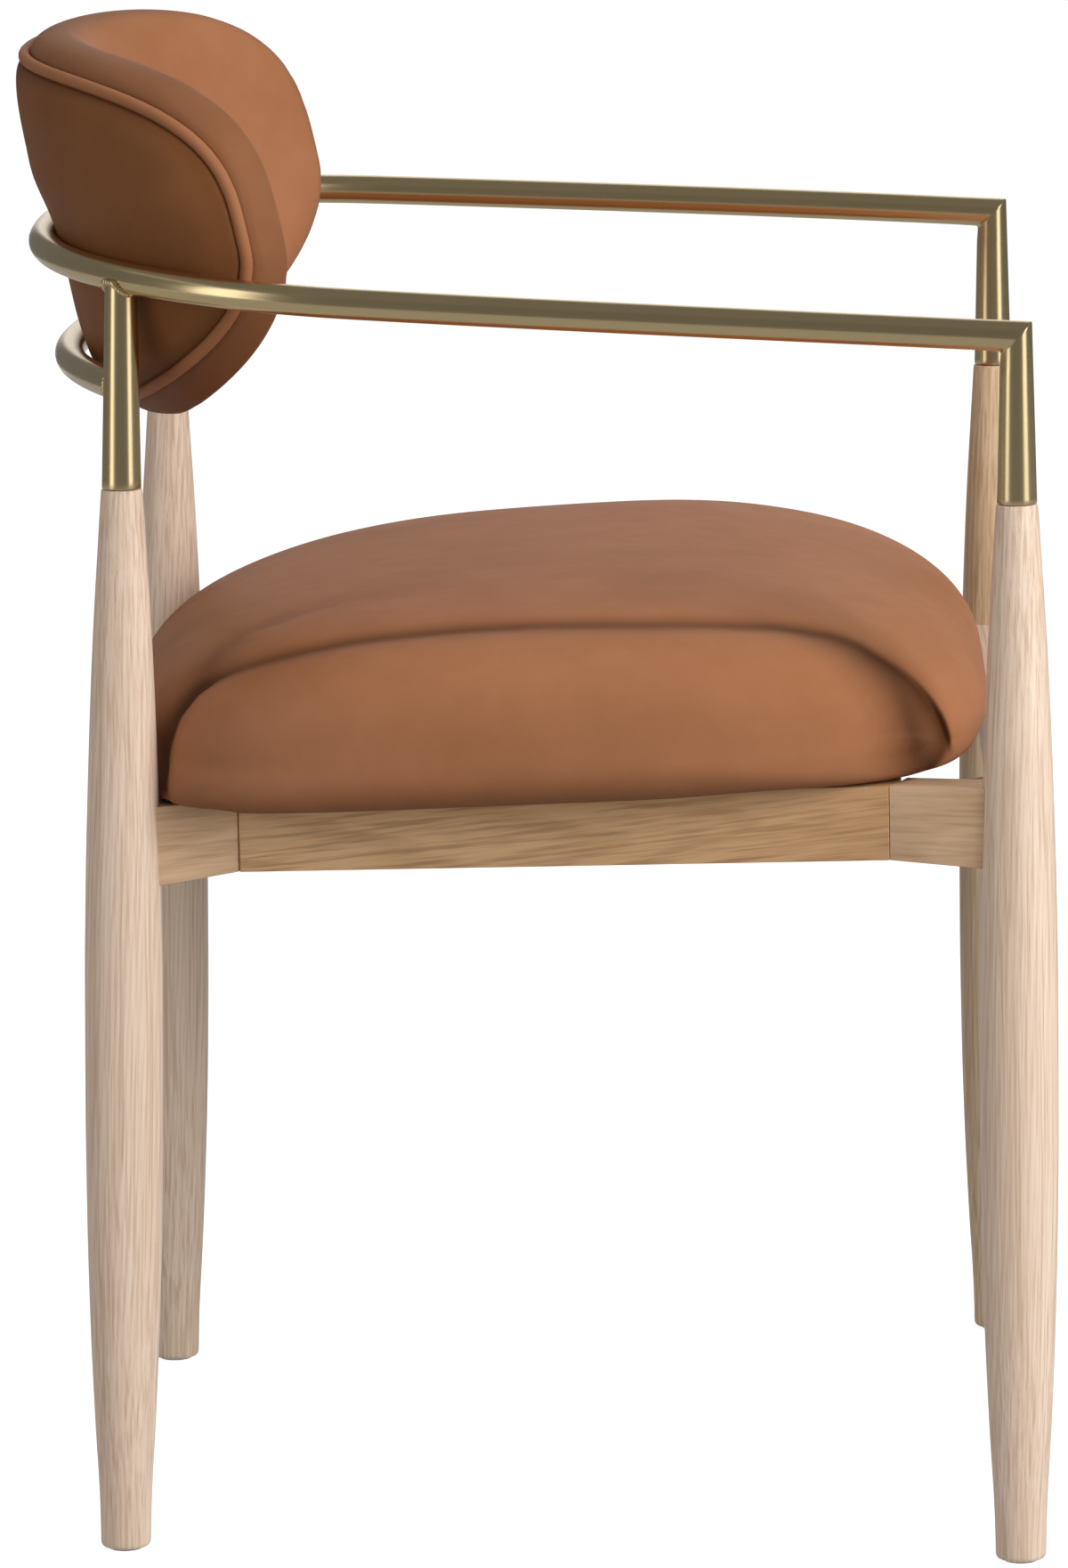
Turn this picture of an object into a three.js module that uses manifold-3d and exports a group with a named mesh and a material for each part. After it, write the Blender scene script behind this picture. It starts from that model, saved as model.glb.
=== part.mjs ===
// A dining armchair: four turned ash legs, tapered brass-finish posts, one bent arm tube that runs
// round behind an upholstered wrap-around back, a second hoop below it, and a domed leather seat.
// Millimetres, +X is the front of the chair, +Y its left side, +Z up, origin on the floor in the middle.
import * as THREE from 'three';
import { mergeVertices } from 'three/addons/utils/BufferGeometryUtils.js';
import Module from 'manifold-3d';

const wasm = await Module();
wasm.setup();

// Clearance between pieces that touch, and how far every cutting tool runs past what it cuts.
const clearance = 0.3;
const overrun = 12;

// Where the four leg axes stand on the floor and where they end at the tubes.
const front = { footX: 233.5, footHalf: 254, topX: 237.5, topHalf: 262, topZ: 640, legTop: 554.4 };
const rear = { footX: -234.5, footHalf: 207, topX: -220.5, legTop: 558.2 };

// Turned leg: radii at heights given as shares of the leg's length.
const legFootRadius = 13;
const legBellyRadius = 20.3;
const legTopRadius = 10.7;
const legFootRound = 2.5;
const legTopChamfer = 0.9;
const legBellyShares = [
  [0.042, 0.09], [0.125, 0.44], [0.215, 0.73], [0.31, 0.91], [0.42, 0.995], [0.53, 1],
  [0.64, 0.915], [0.73, 0.765], [0.81, 0.6], [0.88, 0.41], [0.945, 0.19],
];

// Foot glide: a nylon disc let into the foot, with a stem.
const glideRadius = 9;
const glideThick = 3;
const glideProud = 1;
const glideStemRadius = 3;
const glideStemLength = 14;

// Tapered metal post on each leg, and the threaded stud that joins them.
const postFootRadius = 10.3;
const postTopRadius = 8.2;
const mitreReach = 6;
const studRadius = 4;
const studInLeg = 32;
const studInPost = 24;

// Bent tubes of the arms and the back.
const tubeRadius = 7.9;
const tubeWall = 1.5;
const armBow = { x: 130, half: 263, z: 647 };
const armMiddle = { x: 0, half: 257.5, z: 655.5 };
const armBend = { x: -100, half: 246.5, z: 662 };
const bendHandle = 90;
const hoopRear = { x: -273, z: 669, handle: 165 };
const lowHoopEnd = { z: 611 };
const lowHoopBow = { x: -245, half: 135 };
const lowHoopRear = { x: -261, z: 608, handle: 60 };

// Seat frame: rails between the legs, with blocks that flare out to the legs at the side rails' ends.
const frameTop = 400.4;
const frameRiseShare = 0.0365;
const railHeight = 38.5;
const railThick = 25;
const crossThick = 24;
const sideRail = { rearX: -170.5, rearHalf: 174.2, frontX: 175, frontHalf: 233.5 };
const blockFlare = 4;
const dowelRadius = 4;
const dowelLength = 38;
const dowelInLeg = 15;
const dowelSpread = 14;
const braceHeight = 22;
const braceReach = { front: 52, rear: 42 };
const braceSetback = 19;
const braceScrewShare = 0.22;
const screwBiteShare = 0.66;

// Seat: plywood board, upholstered cushion on it, dust cover under it, screws up through the braces.
const boardThick = 11;
const boardInset = 20;
const coverThick = 1.2;
const coverGap = 2;
const coverFrontInset = 30;
const coverCorner = 84;
const screwRadius = 2.2;
const screwHeadRadius = 4.6;
const screwHeadHeight = 2.6;
const seatScrewLength = 26;
const cushion = {
  halfLength: 227.5, middleX: -4.5, halfWidth: 257, taperShare: 0.055, bottomLift: 1.3,
  widestUp: 27, crownUp: 95.5, grooveDepth: 4, grooveUp: 82, grooveEnd: 203,
};
const cushionCornerShare = 3.7;
const cushionDomeShare = 2.15;
const cushionSideShare = 3.5;
const cushionTuckShare = 0.055;
const grooveArchShare = 3;
const grooveSideShare = 0.75;
const grooveFadeShare = 4;

// Backrest: bent plywood shell, front pad, rear panel and the piping on their seam.
const back = {
  middleZ: 678, leanShare: 0.2, halfLength: 268, upHalf: 90, downHalf: 92, fromTube: 8.6,
  topLeanShare: 0.16, topReach: 230,
};
const backUpShare = 3.6;
const backDownShare = 1.95;
const pipingRadius = 2.6;
const pipingDeep = 14;
const panelDeep = 11;
const panelRound = 9;
const shellDeep = 11.5;
const shellThick = 9;
const shellInset = 10;
const padDeep = 60;
const padFaceShare = 0.93;
const padRim = { tip: 12, up: 10, down: 11, deep: 36 };
const backScrewAt = { upper: 92, lower: 84 };
const backScrewSunk = 1.6;
const backScrewPast = 3.5;

// How finely round shapes are cut.
const legSides = 18;
const tubeSides = 10;
const smallSides = 12;
const armSteps = 60;
const hoopSteps = 24;
const pipingSteps = 64;
const pipingSides = 6;
const wrapCount = 44;
const planCount = 56;
const halvings = 40;

function finish(colour, roughness, metalness) {
  return new THREE.MeshStandardMaterial({ color: colour, roughness, metalness });
}

const ash = finish(0xdec3a5, 0.55, 0);
const rails = finish(0xb9966f, 0.6, 0);
const brass = finish(0xa59669, 0.3, 1);
const leather = finish(0xa0684c, 0.6, 0);
const plywood = finish(0xcaa77c, 0.75, 0);
const steel = finish(0x8c8f92, 0.4, 1);
const nylon = finish(0x2a2a2c, 0.5, 0);
const feltBlack = finish(0x1c1c1e, 0.95, 0);

const chair = new THREE.Group();

function addPart(name, geometry, material) {
  const mesh = new THREE.Mesh(geometry, material);
  mesh.name = name;
  chair.add(mesh);
  return mesh;
}

// Closed-mesh cutting and trimming.
function toSolid(geometry) {
  const bare = geometry.clone();
  bare.deleteAttribute('normal');
  bare.deleteAttribute('uv');
  const merged = mergeVertices(bare, 1e-4);
  const vertProperties = new Float32Array(merged.attributes.position.array);
  const triVerts = new Uint32Array(merged.index.array);
  return new wasm.Manifold(new wasm.Mesh({ numProp: 3, vertProperties, triVerts }));
}

function fromSolid(solid) {
  const mesh = solid.getMesh();
  const geometry = new THREE.BufferGeometry();
  geometry.setAttribute('position', new THREE.BufferAttribute(new Float32Array(mesh.vertProperties), 3));
  geometry.setIndex(new THREE.BufferAttribute(new Uint32Array(mesh.triVerts), 1));
  geometry.computeVertexNormals();
  return geometry;
}

function cutBy(geometry, tools) {
  let solid = toSolid(geometry);
  for (const tool of tools) {
    solid = solid.subtract(toSolid(tool));
  }
  return fromSolid(solid);
}

// A block on the side of a plane that its normal points to.
function sideBlock(point, normal, reach) {
  const box = new THREE.BoxGeometry(reach, reach, reach);
  const turn = new THREE.Quaternion().setFromUnitVectors(new THREE.Vector3(0, 0, 1), normal);
  box.translate(0, 0, reach / 2);
  box.applyQuaternion(turn);
  box.translate(point.x, point.y, point.z);
  return box;
}

// A revolved profile about Z. Profile points are [radius, height].
function revolve(profile, sides) {
  const points = profile.map(([radius, height]) => new THREE.Vector2(radius, height));
  const geometry = new THREE.LatheGeometry(points, sides);
  geometry.rotateX(Math.PI / 2);
  return geometry;
}

// A round bar from one point to another.
function bar(start, end, radius, sides) {
  const length = start.distanceTo(end);
  const geometry = new THREE.CylinderGeometry(radius, radius, length, sides);
  geometry.rotateX(Math.PI / 2);
  geometry.translate(0, 0, length / 2);
  const direction = end.clone().sub(start).normalize();
  geometry.applyQuaternion(new THREE.Quaternion().setFromUnitVectors(new THREE.Vector3(0, 0, 1), direction));
  geometry.translate(start.x, start.y, start.z);
  return geometry;
}

// The axis of a leg: where it is at a height. Side is +1 for left and -1 for right.
function axisAt(end, side, z) {
  const share = z / end.topZ;
  const x = end.footX + (end.topX - end.footX) * share;
  const half = end.footHalf + (end.topHalf - end.footHalf) * share;
  return new THREE.Vector3(x, side * half, z);
}

// Leans an upright piece along a leg's axis, so that its level cuts stay level.
function leanOnto(geometry, end, side) {
  const leanX = (end.topX - end.footX) / end.topZ;
  const leanY = side * (end.topHalf - end.footHalf) / end.topZ;
  const matrix = new THREE.Matrix4().set(
    1, 0, leanX, end.footX,
    0, 1, leanY, side * end.footHalf,
    0, 0, 1, 0,
    0, 0, 0, 1,
  );
  return geometry.applyMatrix4(matrix);
}

function quarterRound(radius, height, round, steps) {
  const points = [];
  for (let i = 0; i <= steps; i += 1) {
    const angle = (i / steps) * Math.PI / 2;
    points.push([radius - round + round * Math.sin(angle), height + round - round * Math.cos(angle)]);
  }
  return points;
}

function legRadiusShare(heightShare) {
  const table = [[0, 0], ...legBellyShares, [1, 0]];
  let k = 0;
  while (k < table.length - 2 && table[k + 1][0] < heightShare) {
    k += 1;
  }
  const span = (heightShare - table[k][0]) / (table[k + 1][0] - table[k][0]);
  return table[k][1] + (table[k + 1][1] - table[k][1]) * span;
}

// The leg's radius at a height, swelling from the foot and from the top to the belly.
function legRadius(end, z) {
  const share = (z - glideProud) / (end.legTop - glideProud);
  const slim = legFootRadius + (legTopRadius - legFootRadius) * share;
  return slim + (legBellyRadius - slim) * legRadiusShare(share);
}

function legProfile(end, grow) {
  const base = glideProud;
  const length = end.legTop - base;
  const profile = [[0, base - grow]];
  for (const [radius, height] of quarterRound(legFootRadius, base, legFootRound, 3)) {
    profile.push([radius + grow, height - grow]);
  }
  for (const [heightShare] of legBellyShares) {
    const height = base + length * heightShare;
    profile.push([legRadius(end, height) + grow, height]);
  }
  profile.push([legTopRadius + grow, end.legTop - legTopChamfer + grow]);
  profile.push([legTopRadius - legTopChamfer + grow, end.legTop + grow]);
  profile.push([0, end.legTop + grow]);
  return profile;
}

function legBody(end, side, grow) {
  return leanOnto(revolve(legProfile(end, grow), legSides), end, side);
}

// Post: a cone from the leg's top to past the tube, before its top is cut.
function postBody(end, side, grow, bored) {
  const start = end.legTop + clearance;
  const finishZ = end.topZ + overrun;
  const slope = (postTopRadius - postFootRadius) / (end.topZ - start);
  const topRadius = postFootRadius + slope * (finishZ - start);
  const bore = studRadius + clearance;
  const profile = [];
  if (bored) {
    profile.push([0, start + studInPost + clearance], [bore, start + studInPost + clearance], [bore, start]);
  } else {
    profile.push([0, start]);
  }
  profile.push([postFootRadius + grow, start], [topRadius + grow, finishZ], [0, finishZ]);
  return leanOnto(revolve(profile, legSides), end, side);
}

// Centre line of the arm tube: front right corner, along the right arm, round the back, left arm.
function armCurve() {
  const cornerRight = axisAt(front, -1, front.topZ);
  const bow = new THREE.Vector3(armBow.x, -armBow.half, armBow.z);
  const middle = new THREE.Vector3(armMiddle.x, -armMiddle.half, armMiddle.z);
  const bend = new THREE.Vector3(armBend.x, -armBend.half, armBend.z);
  const heading = bend.clone().sub(middle).normalize().multiplyScalar(bendHandle);
  const afterBend = bend.clone().add(heading);
  const beforeRear = new THREE.Vector3(hoopRear.x, -hoopRear.handle, hoopRear.z + clearance);
  const rearMiddle = new THREE.Vector3(hoopRear.x, 0, hoopRear.z);
  const mirror = (p) => new THREE.Vector3(p.x, -p.y, p.z);
  const ahead = cornerRight.clone().sub(bow).normalize().multiplyScalar(overrun).add(cornerRight);
  const path = new THREE.CurvePath();
  path.add(new THREE.LineCurve3(ahead, cornerRight));
  path.add(new THREE.CubicBezierCurve3(cornerRight, bow, middle, bend));
  path.add(new THREE.CubicBezierCurve3(bend, afterBend, beforeRear, rearMiddle));
  path.add(new THREE.CubicBezierCurve3(rearMiddle, mirror(beforeRear), mirror(afterBend), mirror(bend)));
  path.add(new THREE.CubicBezierCurve3(mirror(bend), mirror(middle), mirror(bow), mirror(cornerRight)));
  path.add(new THREE.LineCurve3(mirror(cornerRight), mirror(ahead)));
  return path;
}

function lowHoopCurve() {
  const end = axisAt(rear, -1, lowHoopEnd.z);
  const bow = new THREE.Vector3(lowHoopBow.x, -lowHoopBow.half, lowHoopEnd.z);
  const beforeRear = new THREE.Vector3(lowHoopRear.x, -lowHoopRear.handle, lowHoopRear.z);
  const rearMiddle = new THREE.Vector3(lowHoopRear.x, 0, lowHoopRear.z);
  const mirror = (p) => new THREE.Vector3(p.x, -p.y, p.z);
  const path = new THREE.CurvePath();
  path.add(new THREE.CubicBezierCurve3(end, bow, beforeRear, rearMiddle));
  path.add(new THREE.CubicBezierCurve3(rearMiddle, mirror(beforeRear), mirror(bow), mirror(end)));
  return path;
}

// A sweep of a round section along a curve, with frames that keep one edge up.
function sweepTube(curve, outer, inner, sides, steps) {
  const section = new THREE.Shape();
  section.absarc(0, 0, outer, 0, Math.PI * 2);
  if (inner > 0) {
    const bore = new THREE.Path();
    bore.absarc(0, 0, inner, 0, Math.PI * 2, true);
    section.holes.push(bore);
  }
  return new THREE.ExtrudeGeometry(section, {
    steps, curveSegments: sides / 2, bevelEnabled: false, extrudePath: curve,
  });
}

// Halves the span 0 to 1 until it finds where a falling function passes zero.
function rootBetween(value) {
  let low = 0;
  let high = 1;
  for (let i = 0; i < halvings; i += 1) {
    const middle = (low + high) / 2;
    if (value(middle) > 0) {
      low = middle;
    } else {
      high = middle;
    }
  }
  return low;
}

const armPath = armCurve();

// The rear posts end where the arm tube passes over them.
const armRearBend = armPath.curves[2];
const crossing = rootBetween((t) => armRearBend.getPoint(t).x - rear.topX);
rear.topHalf = -armRearBend.getPoint(crossing).y;
rear.topZ = armRearBend.getPoint(crossing).z;

const lowPath = lowHoopCurve();

// The mitre between an arm and its front post: the plane that halves the corner.
function mitre(side) {
  const corner = axisAt(front, side, front.topZ);
  const down = axisAt(front, side, 0).sub(corner).normalize();
  const bow = new THREE.Vector3(armBow.x, side * armBow.half, armBow.z);
  const along = bow.sub(corner).normalize();
  const normal = along.clone().sub(down).normalize();
  return { corner, normal };
}

function screwHole(screw) {
  return bar(screw.tip, screw.seat.clone().addScaledVector(screw.outward, overrun), screwRadius + clearance,
    smallSides);
}

// The pocket that a screw's head sits in.
function headHole(screw) {
  const floor = screw.seat.clone().addScaledVector(screw.outward, -clearance);
  const mouth = screw.seat.clone().addScaledVector(screw.outward, overrun);
  return bar(floor, mouth, screwHeadRadius + clearance, smallSides);
}

// The four screws that hold the back: each runs from a pocket in the shell into the tube behind it.
function backScrews() {
  const screws = [];
  for (const [level, curve] of [['upper', armPath], ['lower', lowPath]]) {
    for (const side of [-1, 1]) {
      const total = curve.getLength();
      const at = (total / 2 + side * backScrewAt[level]) / total;
      const centre = curve.getPointAt(at);
      const tangent = curve.getTangentAt(at);
      const outward = new THREE.Vector3(-Math.abs(tangent.y), Math.sign(centre.y) * Math.abs(tangent.x), 0);
      outward.normalize().negate();
      const shellFace = back.fromTube + shellDeep + shellThick;
      const seat = centre.clone().addScaledVector(outward, shellFace - screwHeadHeight - backScrewSunk);
      const tip = centre.clone().addScaledVector(outward, tubeRadius - tubeWall - backScrewPast);
      const name = `backrest_screw_${level}_${side < 0 ? 'right' : 'left'}`;
      screws.push({ name, level, seat, tip, outward });
    }
  }
  return screws;
}

const screwsOfBack = backScrews();

function makeArmLoop() {
  const tube = sweepTube(armPath, tubeRadius, tubeRadius - tubeWall, tubeSides, armSteps);
  const tools = screwsOfBack.filter((screw) => screw.level === 'upper').map(screwHole);
  for (const side of [-1, 1]) {
    const { corner, normal } = mitre(side);
    const point = corner.clone().addScaledVector(normal, clearance / 2);
    tools.push(sideBlock(point, normal.clone().negate(), postFootRadius * mitreReach));
  }
  addPart('arm_loop', cutBy(tube, tools), brass);
}

function makeLowerHoop() {
  const tube = sweepTube(lowPath, tubeRadius, tubeRadius - tubeWall, tubeSides, hoopSteps);
  const tools = screwsOfBack.filter((screw) => screw.level === 'lower').map(screwHole);
  for (const side of [-1, 1]) {
    tools.push(postBody(rear, side, clearance, false));
  }
  addPart('lower_hoop', cutBy(tube, tools), brass);
}

function makeFrontPost(name, side) {
  const { corner, normal } = mitre(side);
  const point = corner.clone().addScaledVector(normal, -clearance / 2);
  const above = sideBlock(point, normal, postFootRadius * mitreReach);
  addPart(name, cutBy(postBody(front, side, 0, true), [above]), brass);
}

function makeRearPost(name, side) {
  const armTool = sweepTube(armPath, tubeRadius + clearance, 0, tubeSides, armSteps);
  const up = new THREE.Vector3(0, 0, 1);
  const above = sideBlock(axisAt(rear, side, rear.topZ), up, postFootRadius * mitreReach);
  addPart(name, cutBy(postBody(rear, side, 0, true), [armTool, above]), brass);
}

function makeStud(name, end, side) {
  const low = end.legTop - studInLeg;
  const high = end.legTop + clearance + studInPost;
  const stud = revolve([[0, low], [studRadius, low], [studRadius, high], [0, high]], smallSides);
  addPart(name, leanOnto(stud, end, side), steel);
}

function studHole(end, side) {
  const low = end.legTop - studInLeg - clearance;
  const high = end.legTop + overrun;
  const radius = studRadius + clearance;
  return leanOnto(revolve([[0, low], [radius, low], [radius, high], [0, high]], smallSides), end, side);
}

function glideProfile(grow, base) {
  return [
    [0, base], [glideRadius + grow, base], [glideRadius + grow, glideThick + grow],
    [glideStemRadius + grow, glideThick + grow], [glideStemRadius + grow, glideThick + glideStemLength + grow],
    [0, glideThick + glideStemLength + grow],
  ];
}

function makeGlide(name, end, side) {
  addPart(name, leanOnto(revolve(glideProfile(0, 0), smallSides * 2), end, side), nylon);
}

function glideHole(end, side) {
  return leanOnto(revolve(glideProfile(clearance, -overrun), smallSides * 2), end, side);
}

// Height of the seat frame's top at a place along the chair.
function frameTopAt(x) {
  return frameTop + frameRiseShare * x;
}

// Tips a level piece to the slope of the seat frame, from heights above the frame's top.
function ontoFrame(geometry) {
  const matrix = new THREE.Matrix4().set(
    1, 0, 0, 0,
    0, 1, 0, 0,
    frameRiseShare, 0, 1, frameTop,
    0, 0, 0, 1,
  );
  return geometry.applyMatrix4(matrix);
}

// A plank between two upright ends. Each end is a centre, a thickness and how low it reaches; a cutting
// tool also rises above the frame's top.
function plank(ends) {
  const [a, b] = ends;
  const along = new THREE.Vector2(b.x - a.x, b.y - a.y).normalize();
  const square = new THREE.Vector2(-along.y, along.x);
  const corners = [];
  for (const end of ends) {
    for (const [sideways, up] of [[-1, 0], [1, 0], [1, 1], [-1, 1]]) {
      const x = end.x + square.x * sideways * end.thick / 2;
      const y = end.y + square.y * sideways * end.thick / 2;
      corners.push(x, y, up ? end.rise || 0 : -end.deep);
    }
  }
  const geometry = new THREE.BufferGeometry();
  geometry.setAttribute('position', new THREE.BufferAttribute(new Float32Array(corners), 3));
  geometry.setIndex([
    0, 2, 1, 0, 3, 2, 4, 5, 6, 4, 6, 7, 0, 1, 5, 0, 5, 4,
    1, 2, 6, 1, 6, 5, 2, 3, 7, 2, 7, 6, 3, 0, 4, 3, 4, 7,
  ]);
  return ontoFrame(geometry);
}

// The place of each joint between a rail or block and a leg: where the dowel lies.
function dowelLine(end, side, towards, drop) {
  const height = frameTopAt(end.footX) - railHeight / 2 + drop;
  const axis = axisAt(end, side, height);
  const heading = new THREE.Vector3(towards.x - axis.x, towards.y - axis.y, 0).normalize();
  const surface = legRadius(end, height);
  const start = axis.clone().addScaledVector(heading, surface - dowelInLeg);
  const finishPoint = start.clone().addScaledVector(heading, dowelLength);
  return { start, finishPoint, heading };
}

function dowelBar(line, grow) {
  const start = line.start.clone().addScaledVector(line.heading, -grow);
  const finishPoint = line.finishPoint.clone().addScaledVector(line.heading, grow);
  return bar(start, finishPoint, dowelRadius + grow, smallSides);
}

const sideNames = [['right', -1], ['left', 1]];
const endNames = [['front', front], ['rear', rear]];

// Everything that each corner of the seat frame needs to know.
const corners = [];
for (const [endName, end] of endNames) {
  for (const [sideName, side] of sideNames) {
    const railX = end === front ? sideRail.frontX : sideRail.rearX;
    const railHalf = end === front ? sideRail.frontHalf : sideRail.rearHalf;
    const railEnd = new THREE.Vector3(railX, side * railHalf, 0);
    const across = axisAt(end, -side, frameTop);
    corners.push({
      name: `${endName}_${sideName}`,
      end,
      side,
      railEnd,
      sideDowel: dowelLine(end, side, railEnd, dowelSpread / 2),
      crossDowel: dowelLine(end, side, across, -dowelSpread / 2),
    });
  }
}

function makeLeg(corner) {
  const { end, side } = corner;
  const tools = [
    studHole(end, side), glideHole(end, side),
    dowelBar(corner.sideDowel, clearance), dowelBar(corner.crossDowel, clearance),
  ];
  addPart(`${corner.name}_leg`, cutBy(legBody(end, side, 0), tools), ash);
}

function makeBlock(corner) {
  const { end, side, railEnd } = corner;
  const axis = axisAt(end, side, frameTop);
  const gapped = railEnd.clone().addScaledVector(axis.clone().sub(railEnd).setZ(0).normalize(), clearance);
  const block = plank([
    { x: gapped.x, y: gapped.y, thick: railThick, deep: railHeight },
    { x: axis.x, y: axis.y, thick: railThick, deep: railHeight + blockFlare },
  ]);
  const shaped = cutBy(block, [legBody(end, side, clearance), dowelBar(corner.sideDowel, clearance)]);
  addPart(`${corner.name}_block`, shaped, rails);
}

function makeSideRail(name, side) {
  const rail = plank([
    { x: sideRail.rearX, y: side * sideRail.rearHalf, thick: railThick, deep: railHeight },
    { x: sideRail.frontX, y: side * sideRail.frontHalf, thick: railThick, deep: railHeight },
  ]);
  const tools = corners.filter((corner) => corner.side === side).map((corner) => blockTool(corner));
  addPart(name, cutBy(rail, tools), rails);
}

function toolEnd(point, thick) {
  return { x: point.x, y: point.y, thick, deep: railHeight + overrun, rise: overrun };
}

// What a side rail's end loses to the block that meets it at an angle.
function blockTool(corner) {
  const { end, side, railEnd } = corner;
  const axis = axisAt(end, side, frameTop);
  const heading = axis.clone().sub(railEnd).setZ(0).normalize();
  const past = railEnd.clone().addScaledVector(heading, overrun);
  return plank([toolEnd(railEnd, railThick + overrun), toolEnd(past, railThick + overrun)]);
}

function makeCrossRail(name, end) {
  const right = axisAt(end, -1, frameTop);
  const left = axisAt(end, 1, frameTop);
  const rail = plank([
    { x: right.x, y: right.y, thick: crossThick, deep: railHeight },
    { x: left.x, y: left.y, thick: crossThick, deep: railHeight },
  ]);
  const tools = [legBody(end, -1, clearance), legBody(end, 1, clearance)];
  for (const corner of corners.filter((one) => one.end === end)) {
    tools.push(dowelBar(corner.crossDowel, clearance), blockSpace(corner));
  }
  addPart(name, cutBy(rail, tools), rails);
}

// The space of a block with clearance round it, where a cross rail has to make way.
function blockSpace(corner) {
  const { end, side, railEnd } = corner;
  const axis = axisAt(end, side, frameTop);
  return plank([toolEnd(railEnd, railThick + clearance * 2), toolEnd(axis, railThick + clearance * 2)]);
}

// A plan outline given height: extruded upwards from a level below the frame's top.
function slab(outline, bottom, height) {
  const shape = new THREE.Shape(outline.map(([x, y]) => new THREE.Vector2(x, y)));
  const geometry = new THREE.ExtrudeGeometry(shape, { depth: height, bevelEnabled: false });
  geometry.translate(0, 0, bottom);
  return ontoFrame(geometry);
}

// Inner face of the side rail: its half width at a place along the chair.
function sideInnerAt(x) {
  const { rearX, rearHalf, frontX, frontHalf } = sideRail;
  const middle = rearHalf + (frontHalf - rearHalf) * (x - rearX) / (frontX - rearX);
  return middle - railThick / 2 / Math.cos(Math.atan2(frontHalf - rearHalf, frontX - rearX));
}

function crossInnerX(end) {
  const inwards = end === front ? -1 : 1;
  return axisAt(end, 1, frameTop).x + inwards * crossThick / 2;
}

// A corner brace: it bridges the side rail's inner face and the cross rail's inner face.
function bracePlace(corner) {
  const { end, side } = corner;
  const reach = end === front ? braceReach.front : braceReach.rear;
  const inwards = end === front ? -1 : 1;
  const faceX = crossInnerX(end) + inwards * clearance;
  const seamX = corner.railEnd.x + inwards * braceSetback;
  const seamHalf = sideInnerAt(seamX) - clearance * 2;
  const crossHalf = seamHalf - reach;
  const width = railThick;
  const outline = [
    [seamX, side * seamHalf],
    [seamX + inwards * width, side * (sideInnerAt(seamX + inwards * width) - clearance * 2)],
    [faceX, side * (crossHalf - width / 2)],
    [faceX, side * (crossHalf + width / 2)],
  ];
  const startX = seamX + inwards * width / 2;
  const screwX = startX + (faceX - startX) * braceScrewShare;
  const screwHalf = seamHalf + (crossHalf - seamHalf) * braceScrewShare;
  return { outline: side * inwards < 0 ? outline : outline.reverse(), screwX, screwY: side * screwHalf };
}

function seatScrewLine(corner) {
  const place = bracePlace(corner);
  const top = boardThick * screwBiteShare;
  const bottom = top - seatScrewLength;
  const lift = frameTopAt(place.screwX);
  return {
    seat: new THREE.Vector3(place.screwX, place.screwY, lift + bottom),
    tip: new THREE.Vector3(place.screwX, place.screwY, lift + top),
    outward: new THREE.Vector3(0, 0, -1),
  };
}

function makeBrace(corner) {
  const { outline } = bracePlace(corner);
  const screw = seatScrewLine(corner);
  const bottom = screw.seat.z + clearance - frameTopAt(screw.seat.x);
  const brace = slab(outline, bottom, Math.min(braceHeight, -clearance - coverThick - bottom));
  addPart(`${corner.name}_brace`, cutBy(brace, [screwHole(screw)]), plywood);
}

function makeScrew(name, screw) {
  const headTop = screw.seat.clone().addScaledVector(screw.outward, screwHeadHeight);
  const head = toSolid(bar(screw.seat, headTop, screwHeadRadius, smallSides));
  const under = screw.seat.clone().addScaledVector(screw.outward, screwHeadHeight / 2);
  const shank = toSolid(bar(screw.tip, under, screwRadius, smallSides));
  addPart(name, fromSolid(head.add(shank)), steel);
}

// Plan outline of the cushion at an angle, as shares of a superellipse that widens to the front.
function cushionPlan(angle, inset) {
  const power = 2 / cushionCornerShare;
  const c = Math.cos(angle);
  const s = Math.sin(angle);
  const x = cushion.middleX + (cushion.halfLength - inset) * Math.sign(c) * Math.abs(c) ** power;
  const half = cushion.halfWidth - inset + cushion.taperShare * x;
  return [x, half * Math.sign(s) * Math.abs(s) ** power];
}

function boardOutline(inset) {
  const points = [];
  for (let i = 0; i < planCount; i += 1) {
    points.push(cushionPlan((i / planCount) * Math.PI * 2, inset));
  }
  return points;
}

function makeSeatBoard() {
  const board = slab(boardOutline(boardInset), clearance, boardThick);
  const tools = corners.map((corner) => screwHole(seatScrewLine(corner)));
  addPart('seat_board', cutBy(board, tools), plywood);
}

function makeDustCover() {
  const rearX = crossInnerX(rear) + coverGap;
  const frontX = crossInnerX(front) - coverFrontInset;
  const half = (x) => sideInnerAt(x) - coverGap;
  const rearHalf = half(rearX + coverCorner);
  const frontHalf = half(frontX - coverCorner);
  const right = [
    [rearX, coverCorner - rearHalf], [rearX + coverCorner, -rearHalf],
    [frontX - coverCorner, -frontHalf], [frontX, coverCorner - frontHalf],
  ];
  const left = right.map(([x, y]) => [x, -y]).reverse();
  const outline = [...right, ...left];
  addPart('dust_cover', slab(outline, -coverThick, coverThick), feltBlack);
}

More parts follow.
